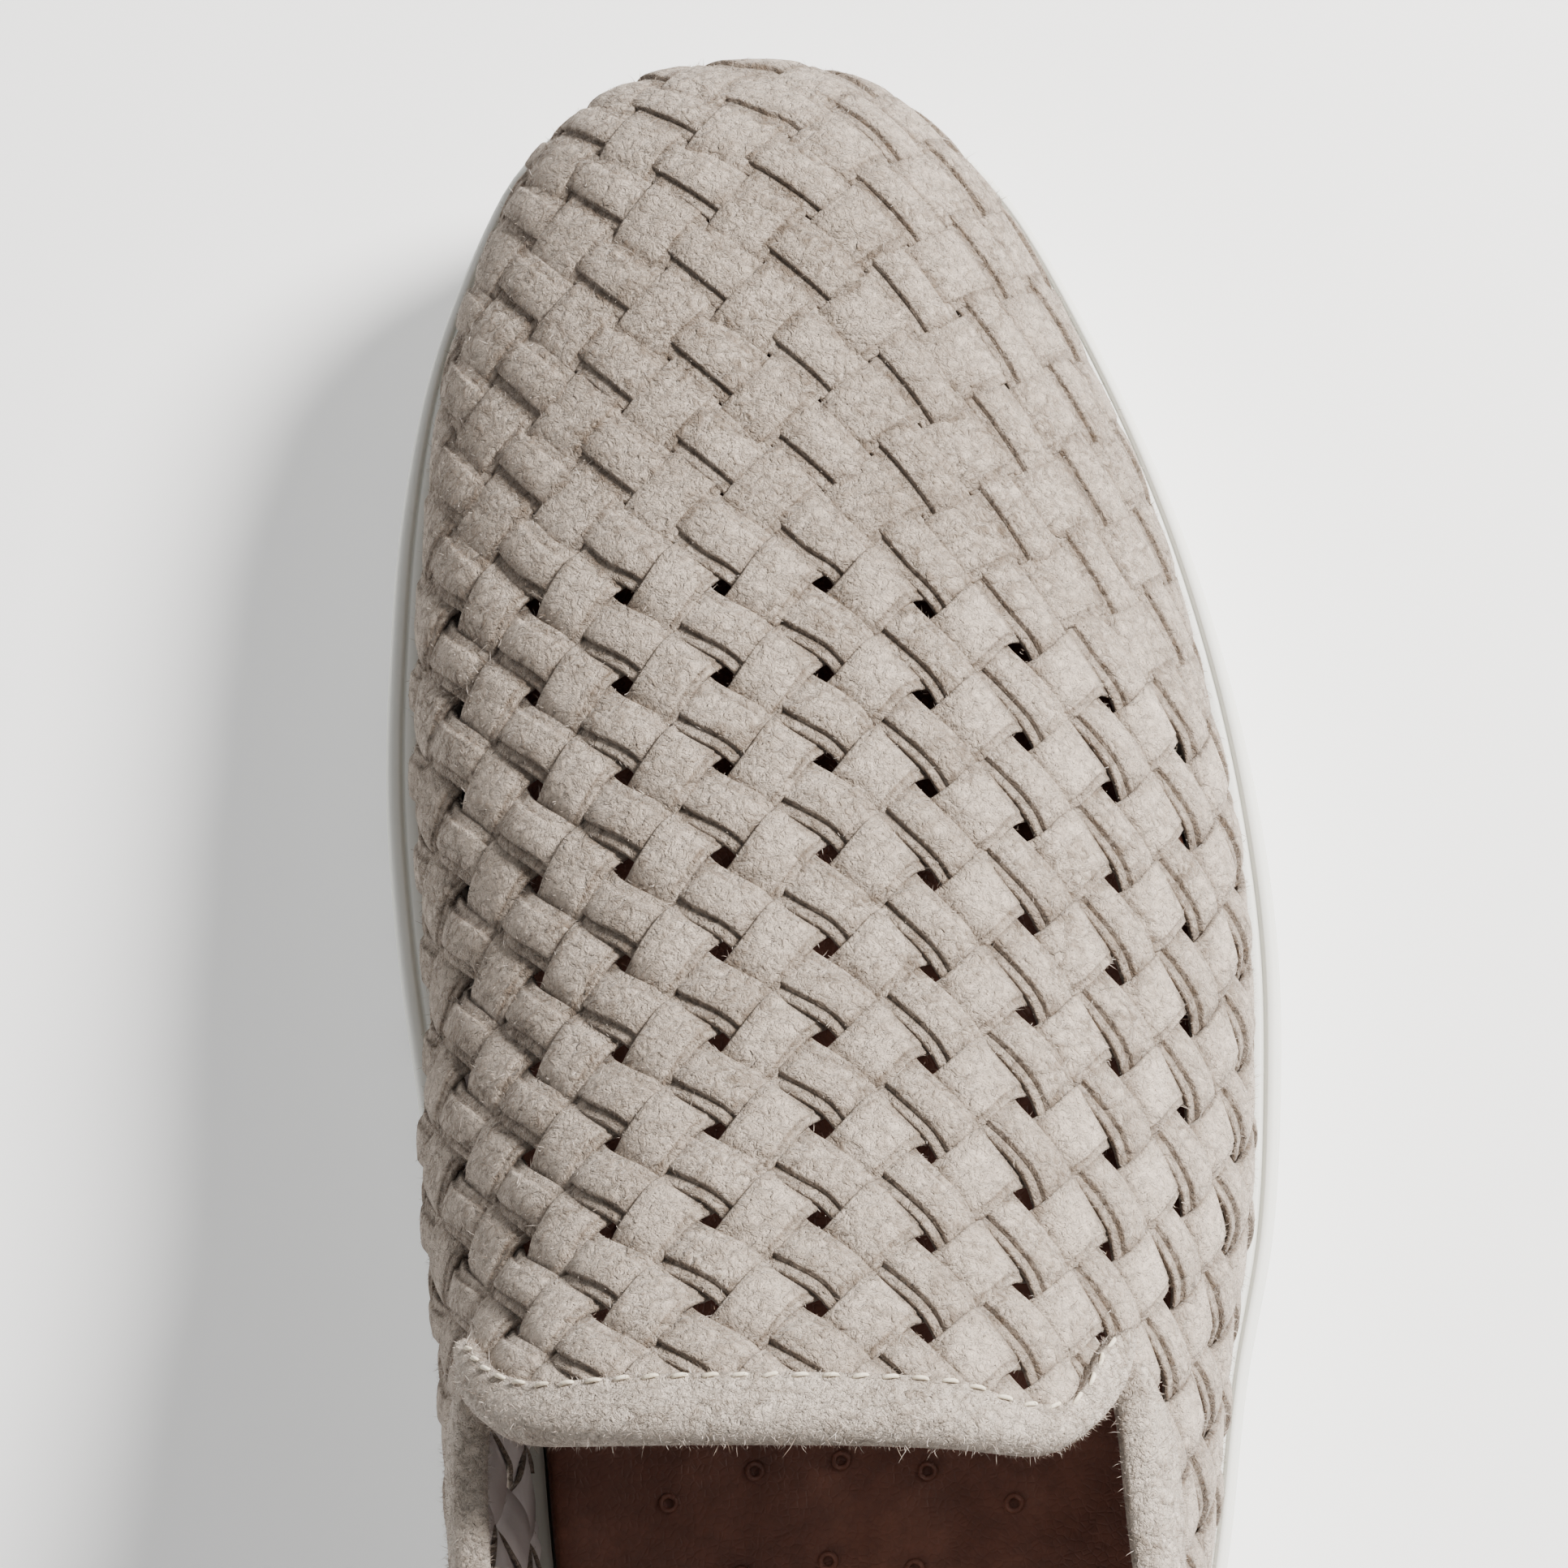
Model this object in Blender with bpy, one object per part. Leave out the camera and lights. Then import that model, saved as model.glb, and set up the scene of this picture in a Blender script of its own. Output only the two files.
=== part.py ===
"""Right shoe with a woven strip upper: cup sole, insole, upper, throat binding and collar binding.

+Y points to the toe, +X to the outer side of the foot, +Z up. The origin lies on the floor
under the middle of the shoe. Lengths are in metres.
"""
import math

import bpy
import numpy as np

# Overall sizes
SOLE_LENGTH = 0.299
BALL_WIDTH = 0.1042
HEEL_WIDTH = 0.0748
RIM_HEIGHT_HEEL = 0.0290
RIM_HEIGHT_BALL = 0.0240
RIM_HEIGHT_TOE = 0.0230
TOE_SPRING = 0.0090
ARCH_LIFT = 0.0016
HEEL_BEVEL = 0.0025
TOE_BOX_HEIGHT = 0.0310
TOE_OVERHANG = 0.0040
INSTEP_HEIGHT = 0.0640
ANKLE_HEIGHT = 0.0980
TOPLINE_FRONT = 0.0700
TOPLINE_SIDE = 0.0670
TOPLINE_HEEL = 0.0790
THROAT_FROM_TOE = 0.1755

# Sole details
RIM_WIDTH = 0.0046
BOTTOM_INSET = 0.0025
BOTTOM_BEVEL = 0.0025
SIDE_LINE_DEPTH = 0.0008
SIDE_LINE_HALF = 0.0007
SIDE_LINE_SHARE = 0.62
RIM_ROUND = 0.0012
RIM_GROOVE_SHARE = 0.38
RIM_GROOVE_END_SHARE = 0.56
RIM_GROOVE_DEPTH = 0.0007
LEDGE_DEPTH = 0.0048
PAN_DEPTH = 0.0092
TREAD_GROOVE_WIDTH = 0.0030
TREAD_GROOVE_DEPTH = 0.0020
TREAD_GROOVE_PITCH = 0.0125
FOREFOOT_GROOVES = 5
HEEL_GROOVES = 4
FOREFOOT_GROOVES_SHARE = 0.585
HEEL_GROOVES_SHARE = 0.105

# Upper
WALL = 0.0016
STRIP_RAISE = 0.0009
TOE_STRIP_RAISE = 0.0006
HOLE_PITCH = 0.0114
HOLE_SHARE = 0.20
STRIP_SIDE_SHARE = 0.13
STRIP_END_SHARE = 0.18
PART_STRIP_SHARE = 0.70
MOST_HOLES = 118
HOLE_ROWS_AHEAD = 0.1010
ROW_LEAN = 0.0215
ROW_LEAN_SPAN = 0.0640
ROW_OFFSET = 0.0095
SNAP_SHARE = 0.20
STATION_STEP = 0.0025
TOE_STATION_STEP = 0.00004
BACK_OVERLAP = 0.0040
HOLE_ABOVE_RIM = 0.0030
PAD_ABOVE_RIM = 0.0015

# Bindings and insole
BINDING_WIDTH = 0.0074
FLAP_CORNER = 0.0046
FLAP_CORNER_SHARE = 0.26
BINDING_OUT = 0.0016
BINDING_IN = 0.0024
COLLAR_WIDTH = 0.0066
INSOLE_THICKNESS = 0.0058
INSOLE_ROUND = 0.0012

# Clearances
EDGE_GAP = 0.0003
SIDE_GAP = 0.0010
INSOLE_GAP = 0.00035
BINDING_GAP = 0.0007

# Outline of the sole. along: share of the length from the heel; inner and outer: share of the width;
# ball: how far the width follows the ball, the rest follows the heel
OUTLINE = (
    # along, inner, outer, ball
    (0.0100, -0.147, 0.174, 0.0),
    (0.0318, -0.301, 0.321, 0.0),
    (0.0652, -0.401, 0.421, 0.0),
    (0.1154, -0.465, 0.484, 0.0),
    (0.1823, -0.484, 0.508, 0.0),
    (0.2659, -0.470, 0.508, 0.15),
    (0.3495, -0.446, 0.494, 0.35),
    (0.4164, -0.433, 0.487, 0.60),
    (0.4732, -0.425, 0.480, 0.80),
    (0.5301, -0.435, 0.485, 1.0),
    (0.5870, -0.460, 0.498, 1.0),
    (0.6438, -0.485, 0.499, 1.0),
    (0.7040, -0.500, 0.480, 1.0),
    (0.7642, -0.499, 0.444, 1.0),
    (0.8244, -0.487, 0.391, 1.0),
    (0.8846, -0.455, 0.316, 1.0),
    (0.9415, -0.393, 0.226, 1.0),
    (0.9615, -0.359, 0.178, 1.0),
    (0.9816, -0.297, 0.106, 1.0),
    (0.9950, -0.200, 0.005, 1.0),
)
TOE_TIP_SHARE = -0.096
HEEL_TIP_SHARE = 0.013

# Heights along the shoe. along: share of the length; the others are shares of the sizes named in the code
BOTTOM_LINE = (
    # along, spring, arch, bevel
    (0.000, 0.0, 0.0, 1.0),
    (0.060, 0.0, 0.0, 0.0),
    (0.290, 0.0, 0.0, 0.0),
    (0.370, 0.0, 1.0, 0.0),
    (0.480, 0.0, 1.0, 0.0),
    (0.560, 0.0, 0.0, 0.0),
    (0.780, 0.0, 0.0, 0.0),
    (0.870, 0.16, 0.0, 0.0),
    (0.940, 0.52, 0.0, 0.0),
    (1.000, 1.0, 0.0, 0.0),
)
RIM_LINE = (
    # along, heel, ball, toe, spring
    (0.000, 1.04, 0.0, 0.0, 0.0),
    (0.150, 1.0, 0.0, 0.0, 0.0),
    (0.420, 0.50, 0.50, 0.0, 0.0),
    (0.650, 0.0, 1.0, 0.0, 0.0),
    (0.820, 0.0, 0.70, 0.30, 0.13),
    (0.920, 0.0, 0.0, 1.0, 0.46),
    (1.000, 0.0, 0.0, 1.0, 0.95),
)
RIDGE_LINE = (
    # along, toe box, instep, ankle
    (0.060, 0.0, 0.0, 1.03),
    (0.150, 0.0, 0.0, 1.0),
    (0.300, 0.0, 0.30, 0.64),
    (0.370, 0.0, 0.75, 0.22),
    (0.413, 0.0, 1.0, 0.0),
    (0.500, 0.13, 0.80, 0.0),
    (0.580, 0.30, 0.60, 0.0),
    (0.670, 0.55, 0.385, 0.0),
    (0.750, 0.75, 0.205, 0.0),
    (0.840, 0.93, 0.06, 0.0),
    (0.920, 1.0, 0.0, 0.0),
    (1.000, 1.0, 0.0, 0.0),
)
SECTION = (
    # along, ridge across as share of the width, inner and outer fullness,
    # inner bulge, outer bulge and inner lean as shares of the width
    (0.060, 0.013, 2.80, 2.80, 0.026, 0.026, 0.0),
    (0.150, 0.010, 2.85, 2.80, 0.034, 0.030, 0.016),
    (0.300, -0.012, 3.20, 2.70, 0.056, 0.036, 0.082),
    (0.413, -0.024, 3.60, 2.60, 0.033, 0.034, 0.112),
    (0.500, -0.016, 2.80, 2.45, 0.057, 0.032, 0.050),
    (0.560, -0.010, 2.50, 2.42, 0.058, 0.031, 0.022),
    (0.620, -0.006, 2.40, 2.40, 0.040, 0.030, 0.0),
    (0.750, -0.008, 2.45, 2.45, 0.034, 0.030, 0.0),
    (0.880, -0.016, 2.50, 2.50, 0.036, 0.025, 0.0),
    (0.950, -0.050, 2.50, 2.50, 0.028, 0.014, 0.0),
    (0.985, -0.088, 2.50, 2.50, 0.010, 0.010, 0.0),
    (1.000, -0.096, 2.50, 2.50, 0.0, 0.0, 0.0),
)
RIM_SHARE = (
    # along, share of the rim's width
    (0.000, 0.85),
    (0.150, 0.78),
    (0.450, 0.76),
    (0.620, 0.94),
    (0.780, 0.86),
    (0.900, 0.66),
    (1.000, 0.58),
)
COLLAR_LINE = (
    # along from the end of the weave to the heel, front, side, heel
    (0.00, 1.0, 0.0, 0.0),
    (0.38, 0.0, 1.0, 0.0),
    (0.70, 0.0, 0.50, 0.50),
    (1.00, 0.0, 0.0, 1.0),
)
TOE_CAP_SHARE = 0.125
TOE_CAP_FULLNESS = 2.75
TOE_OVERHANG_SHARE = 0.13
HEEL_AXIS_SHARE = 0.150


def smooth(table, column, at):
    """Monotone cubic through one column of a table whose first column is the place."""
    xs = np.array([row[0] for row in table])
    ys = np.array([row[column] for row in table])
    steps = np.diff(xs)
    slopes = np.diff(ys) / steps
    tangents = np.zeros(len(xs))
    tangents[0] = slopes[0]
    tangents[-1] = slopes[-1]
    for k in range(1, len(xs) - 1):
        if slopes[k - 1] * slopes[k] > 0:
            w1 = 2 * steps[k] + steps[k - 1]
            w2 = steps[k] + 2 * steps[k - 1]
            tangents[k] = (w1 + w2) / (w1 / slopes[k - 1] + w2 / slopes[k])
    at = np.clip(np.asarray(at, float), xs[0], xs[-1])
    cell = np.clip(np.searchsorted(xs, at) - 1, 0, len(xs) - 2)
    t = (at - xs[cell]) / steps[cell]
    return (
        ys[cell] * (1 + 2 * t) * (1 - t) ** 2
        + steps[cell] * tangents[cell] * t * (1 - t) ** 2
        + ys[cell + 1] * t * t * (3 - 2 * t)
        + steps[cell] * tangents[cell + 1] * t * t * (t - 1)
    )


def share_of(y):
    return np.asarray(y, float) / SOLE_LENGTH + 0.5


def bottom_height(y):
    at = share_of(y)
    return (
        TOE_SPRING * smooth(BOTTOM_LINE, 1, at)
        + ARCH_LIFT * smooth(BOTTOM_LINE, 2, at)
        + HEEL_BEVEL * smooth(BOTTOM_LINE, 3, at)
    )


def rim_height(y):
    at = share_of(y)
    return (
        RIM_HEIGHT_HEEL * smooth(RIM_LINE, 1, at)
        + RIM_HEIGHT_BALL * smooth(RIM_LINE, 2, at)
        + RIM_HEIGHT_TOE * smooth(RIM_LINE, 3, at)
        + TOE_SPRING * smooth(RIM_LINE, 4, at)
    )


def outline_points():
    """Control points of the sole outline: toe tip, outer side, heel tip, inner side."""
    outer = []
    inner = []
    for along, inner_share, outer_share, ball in OUTLINE:
        width = ball * BALL_WIDTH + (1 - ball) * HEEL_WIDTH
        y = (along - 0.5) * SOLE_LENGTH
        outer.append((outer_share * width, y))
        inner.append((inner_share * width, y))
    toe = (TOE_TIP_SHARE * BALL_WIDTH, SOLE_LENGTH / 2)
    heel = (HEEL_TIP_SHARE * HEEL_WIDTH, -SOLE_LENGTH / 2)
    return [toe] + outer[::-1] + [heel] + inner


def closed_curve(points, per_span=40):
    """Closed centripetal curve through the points, sampled evenly inside each span."""
    pts = np.array(points)
    count = len(pts)
    out = []
    for k in range(count):
        p0, p1, p2, p3 = (pts[(k + d) % count] for d in (-1, 0, 1, 2))
        t1 = np.linalg.norm(p1 - p0) ** 0.5
        t2 = t1 + np.linalg.norm(p2 - p1) ** 0.5
        t3 = t2 + np.linalg.norm(p3 - p2) ** 0.5
        for t in np.linspace(t1, t2, per_span, endpoint=False):
            a1 = (t1 - t) / t1 * p0 + t / t1 * p1
            a2 = (t2 - t) / (t2 - t1) * p1 + (t - t1) / (t2 - t1) * p2
            a3 = (t3 - t) / (t3 - t2) * p2 + (t - t2) / (t3 - t2) * p3
            b1 = (t2 - t) / t2 * a1 + t / t2 * a2
            b2 = (t3 - t) / (t3 - t1) * a2 + (t - t1) / (t3 - t1) * a3
            out.append((t2 - t) / (t2 - t1) * b1 + (t - t1) / (t2 - t1) * b2)
    return np.array(out)


CURVE = closed_curve(outline_points())
CURVE_STEP = np.roll(CURVE, -1, axis=0) - np.roll(CURVE, 1, axis=0)
CURVE_OUT = np.stack([-CURVE_STEP[:, 1], CURVE_STEP[:, 0]], axis=1)
CURVE_OUT /= np.linalg.norm(CURVE_OUT, axis=1)[:, None]
HALF_COUNT = int(np.argmin(CURVE[:, 1]))


CURVE_RIM = RIM_WIDTH * smooth(RIM_SHARE, 1, share_of(CURVE[:, 1]))


def inset_curve(inset, rim=0.0):
    """Outline moved inward by a length and by a share of the rim's local width."""
    return CURVE - CURVE_OUT * (inset + rim * CURVE_RIM)[:, None]


def side_lines(inset, rim):
    """Outer and inner half of an inset outline, each from the toe tip to the heel tip."""
    ring = inset_curve(inset, rim)
    outer = ring[: HALF_COUNT + 1]
    inner = np.vstack([ring[:1], ring[HALF_COUNT:][::-1]])
    return outer, inner


def ring_indices(rungs=32):
    """Places on the outline for the rings of the sole, dense at toe and heel, paired across."""
    outer_y = CURVE[: HALF_COUNT + 1, 1]
    inner = np.arange(len(CURVE) - 1, HALF_COUNT - 1, -1)
    inner_y = CURVE[inner, 1]
    ys = [SOLE_LENGTH / 2 * math.cos(math.pi * k / rungs) for k in range(1, rungs)]
    right = [int(np.argmin(abs(outer_y - y))) for y in ys]
    left = [int(inner[np.argmin(abs(inner_y - y))]) for y in ys]
    return [0] + right + [HALF_COUNT] + left[::-1]


RING = ring_indices()


def ring(inset, height_of, lift=0.0, rim=0.0):
    """One closed row of points around the shoe; the height follows each point's own y."""
    pts = inset_curve(inset, rim)[RING]
    return [(x, y, float(height_of(y)) + lift) for x, y in pts]


def make_object(name, verts, faces, colour, roughness, collection):
    mesh = bpy.data.meshes.new(name)
    mesh.from_pydata([tuple(map(float, v)) for v in verts], [], faces)
    mesh.validate()
    obj = bpy.data.objects.new(name, mesh)
    collection.objects.link(obj)
    material = bpy.data.materials.new(name)
    material.use_nodes = True
    shader = material.node_tree.nodes["Principled BSDF"]
    shader.inputs["Base Color"].default_value = (*colour, 1.0)
    shader.inputs["Roughness"].default_value = roughness
    mesh.materials.append(material)
    return obj


def ladder(start, count, flip):
    """Cap over a ring whose point k lies across from point count - k."""
    faces = []
    half = count // 2
    faces.append((start, start + 1, start + count - 1))
    for k in range(1, half - 1):
        a, b = start + k, start + k + 1
        c, d = start + count - k - 1, start + count - k
        faces.append((a, b, d))
        faces.append((b, c, d))
    faces.append((start + half - 1, start + half, start + half + 1))
    return [f[::-1] for f in faces] if flip else faces


def stack_rings(rings):
    """Closed body from rings listed from its lower cap to its upper cap."""
    count = len(rings[0])
    verts = [p for r in rings for p in r]
    faces = []
    for level in range(len(rings) - 1):
        low = level * count
        high = low + count
        for k in range(count):
            n = (k + 1) % count
            faces.append((low + n, low + k, high + k))
            faces.append((low + n, high + k, high + n))
    faces += ladder(0, count, False)
    faces += ladder((len(rings) - 1) * count, count, True)
    return verts, faces


def side_height(share):
    def height(y):
        return bottom_height(y) + share * (rim_height(y) - bottom_height(y))

    return height


UPPER_INSET = SIDE_GAP + STRIP_RAISE
PAN_INSET = UPPER_INSET + WALL + SIDE_GAP


def build_sole(collection, cutters):
    groove_mid = (RIM_GROOVE_SHARE + RIM_GROOVE_END_SHARE) / 2
    rings = [
        ring(BOTTOM_INSET, bottom_height),
        ring(BOTTOM_INSET * 0.2, bottom_height, BOTTOM_BEVEL),
        ring(0.0, side_height(SIDE_LINE_SHARE), -SIDE_LINE_HALF),
        ring(SIDE_LINE_DEPTH, side_height(SIDE_LINE_SHARE)),
        ring(0.0, side_height(SIDE_LINE_SHARE), SIDE_LINE_HALF),
        ring(0.0, rim_height, -RIM_ROUND),
        ring(RIM_ROUND * 0.7, rim_height),
        ring(0.0, rim_height, 0.0, RIM_GROOVE_SHARE),
        ring(0.0, rim_height, -RIM_GROOVE_DEPTH, groove_mid),
        ring(0.0, rim_height, 0.0, RIM_GROOVE_END_SHARE),
        ring(0.0, rim_height, 0.0, 1.0),
        ring(0.0, rim_height, -LEDGE_DEPTH, 1.0),
        ring(PAN_INSET, rim_height, -LEDGE_DEPTH, 1.0),
        ring(PAN_INSET, rim_height, -PAN_DEPTH, 1.0),
    ]
    verts, faces = stack_rings(rings)
    sole = make_object("sole", verts, faces, (0.80, 0.80, 0.74), 0.55, collection)
    half = TREAD_GROOVE_WIDTH / 2
    deep = TREAD_GROOVE_DEPTH
    places = []
    for start, number in ((HEEL_GROOVES_SHARE, HEEL_GROOVES), (FOREFOOT_GROOVES_SHARE, FOREFOOT_GROOVES)):
        first = (start - 0.5) * SOLE_LENGTH
        places += [first + k * TREAD_GROOVE_PITCH for k in range(number)]
    for number, y in enumerate(places):
        xs = (-BALL_WIDTH, BALL_WIDTH)
        box = [(x, y + dy, z) for z in (-deep, deep) for dy in (-half, half) for x in xs]
        sides = [(0, 2, 3, 1), (4, 5, 7, 6), (0, 1, 5, 4), (2, 6, 7, 3), (0, 4, 6, 2), (1, 3, 7, 5)]
        cutter = make_object(f"groove_cut_{number}", box, sides, (0.5, 0.5, 0.5), 0.5, cutters)
        cutter.hide_render = True
        cutter.display_type = "WIRE"
        cut = sole.modifiers.new(f"groove_{number}", "BOOLEAN")
        cut.operation = "DIFFERENCE"
        cut.solver = "EXACT"
        cut.object = cutter
    return sole


def build_insole(collection):
    inset = PAN_INSET + INSOLE_GAP
    low = -PAN_DEPTH + EDGE_GAP
    high = low + INSOLE_THICKNESS
    rings = [
        ring(inset, rim_height, low, 1.0),
        ring(inset, rim_height, high - INSOLE_ROUND, 1.0),
        ring(inset + INSOLE_ROUND, rim_height, high, 1.0),
    ]
    verts, faces = stack_rings(rings)
    return make_object("insole", verts, faces, (0.22, 0.11, 0.07), 0.5, collection)


# The sheet of the upper. Each station is a cross-section, in planes across the shoe from the toe to
# the heel axis and then in planes through that axis round the heel.
PROFILE_POINTS = 44
OUTER_LINE, INNER_LINE = side_lines(UPPER_INSET, 1.0)
TOE_Y = float(OUTER_LINE[0][1])
HEEL_Y = (HEEL_AXIS_SHARE - 0.5) * SOLE_LENGTH
THROAT_Y = SOLE_LENGTH / 2 - THROAT_FROM_TOE
WEAVE_END_Y = THROAT_Y + BINDING_WIDTH


def width_at(y):
    at = share_of(y)
    ball = np.interp(at, [row[0] for row in OUTLINE], [row[3] for row in OUTLINE])
    return ball * BALL_WIDTH + (1 - ball) * HEEL_WIDTH


def feather_height(y):
    return rim_height(y) - LEDGE_DEPTH + EDGE_GAP


def ridge_height(y):
    """Height of the ridge above the bottom edge of the upper; behind the throat it isn't built."""
    at = share_of(y)
    height = (
        TOE_BOX_HEIGHT * smooth(RIDGE_LINE, 1, at)
        + INSTEP_HEIGHT * smooth(RIDGE_LINE, 2, at)
        + ANKLE_HEIGHT * smooth(RIDGE_LINE, 3, at)
    )
    back = np.clip((TOE_Y - y) / (TOE_CAP_SHARE * SOLE_LENGTH), 0.0, 1.0)
    cap = (1 - (1 - back) ** TOE_CAP_FULLNESS) ** (1 / TOE_CAP_FULLNESS)
    return height * cap


def swell(height):
    """Bulge of the wall over its height, 1 where it is widest, 0 at the bottom edge and the ridge."""
    peak = 0.36
    return (height / peak) ** 1.6 * ((1 - height) / (1 - peak)) ** 2.8


def above_rim(rise, total):
    return np.clip((rise - LEDGE_DEPTH) / (total - LEDGE_DEPTH), 0.0, 1.0)


def wall_profile(foot, middle, y, side):
    """Points from the bottom edge up to the ridge in the plane through foot and middle."""
    at = share_of(y)
    full = float(smooth(SECTION, 3 if side > 0 else 2, at))
    bulge = float(smooth(SECTION, 5 if side > 0 else 4, at)) * float(width_at(y))
    lean = 0.0 if side > 0 else float(smooth(SECTION, 6, at)) * float(width_at(y))
    angle = np.linspace(0.0, math.pi / 2, PROFILE_POINTS)
    height = np.sin(angle) ** (2 / full)
    width = np.cos(angle) ** (2 / full)
    reach = np.array(foot) - np.array(middle)
    span = np.linalg.norm(reach)
    direction = reach / span
    rise = float(ridge_height(y)) * height
    clear = above_rim(rise, max(float(ridge_height(y)), TOE_BOX_HEIGHT))
    out = span * width + bulge * swell(clear) + lean * clear * np.sqrt(1 - clear**6)
    ahead = np.clip((y - TOE_Y) / (TOE_OVERHANG_SHARE * SOLE_LENGTH) + 1.0, 0.0, 1.0) ** 2
    forward = TOE_OVERHANG * ahead * swell(above_rim(rise, TOE_BOX_HEIGHT))
    xs = middle[0] + direction[0] * out
    ys = middle[1] + direction[1] * out + forward
    return np.column_stack([xs, ys, float(feather_height(y)) + rise])


def station_places():
    """Distances of the stations: y down to the heel axis, then angles round the heel."""
    ys = [TOE_Y - TOE_STATION_STEP * (k * k + 0.5) for k in range(23)]
    while ys[-1] - STATION_STEP > WEAVE_END_Y:
        ys.append(ys[-1] - STATION_STEP)
    ys.append(WEAVE_END_Y)
    throat = len(ys) - 1
    legs = np.linspace(WEAVE_END_Y, HEEL_Y, 27)[1:]
    ys += [float(y) for y in legs]
    angles = np.linspace(0.0, math.pi / 2, 15)[1:]
    return ys, [float(a) for a in angles], throat


def side_table(line, sign):
    """Profiles, their arc lengths from the bottom edge and their normals, station by station."""
    ys, angles, _ = station_places()
    order = np.argsort(line[:, 1])
    profiles = []
    for y in ys:
        foot_x = float(np.interp(y, line[order, 1], line[order, 0]))
        middle_x = float(smooth(SECTION, 1, share_of(y))) * float(width_at(y))
        profiles.append(wall_profile((foot_x, y), (middle_x, y), y, sign))
    middle = (float(smooth(SECTION, 1, HEEL_AXIS_SHARE)) * float(width_at(HEEL_Y)), HEEL_Y)
    turn = np.arctan2(-(line[:, 1] - middle[1]), sign * (line[:, 0] - middle[0]))
    back = line[:, 1] <= HEEL_Y + BACK_OVERLAP
    turn_order = np.argsort(turn[back])
    for angle in angles:
        foot_x = float(np.interp(angle, turn[back][turn_order], line[back][turn_order, 0]))
        foot_y = float(np.interp(angle, turn[back][turn_order], line[back][turn_order, 1]))
        profiles.append(wall_profile((foot_x, foot_y), middle, foot_y, sign))
    grid = np.array(profiles)
    arcs = np.zeros(grid.shape[:2])
    arcs[:, 1:] = np.cumsum(np.linalg.norm(np.diff(grid, axis=1), axis=2), axis=1)
    along = np.gradient(grid, axis=0)
    up = np.gradient(grid, axis=1)
    normals = np.cross(up, along) * sign
    sizes = np.linalg.norm(normals, axis=2)[:, :, None]
    normals = normals / np.maximum(sizes, 1e-15)
    normals[0] = (0.0, 1.0, 0.0)
    return grid, arcs, normals


STATION_YS, STATION_ANGLES, THROAT_STATION = station_places()
TABLES = {
    1: side_table(OUTER_LINE, 1),
    -1: side_table(INNER_LINE, -1),
}
SIDE_GIRTH = {side: float(TABLES[side][1][THROAT_STATION, -1]) for side in (1, -1)}
GIRTH = (SIDE_GIRTH[1] + SIDE_GIRTH[-1]) / 2
HALF = HOLE_PITCH / 2


def leg_length(side):
    grid, arcs, _ = TABLES[side]
    middle = [
        [np.interp(0.6 * TOPLINE_SIDE, arcs[j], grid[j][:, c]) for c in range(3)]
        for j in range(THROAT_STATION, len(grid))
    ]
    return float(np.sum(np.linalg.norm(np.diff(np.array(middle), axis=0), axis=1)))


LEG = (leg_length(1) + leg_length(-1)) / 2
SEAM_ROW = -int(round((LEG - ROW_LEAN / 2 + ROW_OFFSET) / HALF))
SEAM_B = SEAM_ROW * HALF + ROW_OFFSET


def at_arc(side, station, arc):
    grid, arcs, normals = TABLES[side]
    reach = arcs[station]
    point = [float(np.interp(arc, reach, grid[station][:, c])) for c in range(3)]
    normal = [float(np.interp(arc, reach, normals[station][:, c])) for c in range(3)]
    return point + normal


LINES = {}


def sheet_line(across):
    """One line of constant distance from the ridge: places along it, points and normals."""
    key = round(across * 1e8)
    if key in LINES:
        return LINES[key]
    side = 1 if across >= 0 else -1
    grid, arcs, normals = TABLES[side]
    span = abs(across) * SIDE_GIRTH[side] / GIRTH
    totals = arcs[:, -1]
    first = 0
    while first < THROAT_STATION and totals[first] < span:
        first += 1
    rows = []
    if first > 0:
        t = (span - totals[first - 1]) / (totals[first] - totals[first - 1])
        low = np.array(at_arc(side, first - 1, 0.0))
        high = np.array(at_arc(side, first, 0.0))
        rows.append(list(low + (high - low) * t))
    for j in range(first, len(grid)):
        total = totals[j] if j <= THROAT_STATION else SIDE_GIRTH[side]
        rows.append(at_arc(side, j, total - span))
    rows = np.array(rows)
    steps = np.linalg.norm(np.diff(rows[:, :3], axis=0), axis=1)
    run = np.concatenate([[0.0], np.cumsum(steps)])
    throat = THROAT_STATION - first + (1 if first > 0 else 0)
    lean = 0.0
    if side > 0:
        lean = -ROW_LEAN * math.sin(math.pi / 2 * min(1.0, span / ROW_LEAN_SPAN)) ** 1.5
    places = run[throat] - run - lean
    leg = (run[throat:] - run[throat]) / (run[-1] - run[throat])
    places[throat:] = -lean + leg * (SEAM_B + lean)
    LINES[key] = (places[::-1], rows[::-1])
    return LINES[key]


def collar_top(y):
    """Height of the collar's top edge above the floor."""
    share = (WEAVE_END_Y - y) / (WEAVE_END_Y + SOLE_LENGTH / 2)
    return float(
        TOPLINE_FRONT * smooth(COLLAR_LINE, 1, share)
        + TOPLINE_SIDE * smooth(COLLAR_LINE, 2, share)
        + TOPLINE_HEEL * smooth(COLLAR_LINE, 3, share)
    )


def weave_top(y):
    return collar_top(y) - COLLAR_WIDTH


def sample(across, along):
    """Point and normal of the sheet, and whether the woven wall covers that place."""
    if abs(across) > GIRTH:
        return None, False
    places, rows = sheet_line(across)
    if along > places[-1] or along < places[0] - 1e-9:
        return None, False
    value = np.array([np.interp(along, places, rows[:, c]) for c in range(6)])
    inside = not (value[1] < WEAVE_END_Y and value[2] > weave_top(value[1]))
    return value, inside


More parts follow.
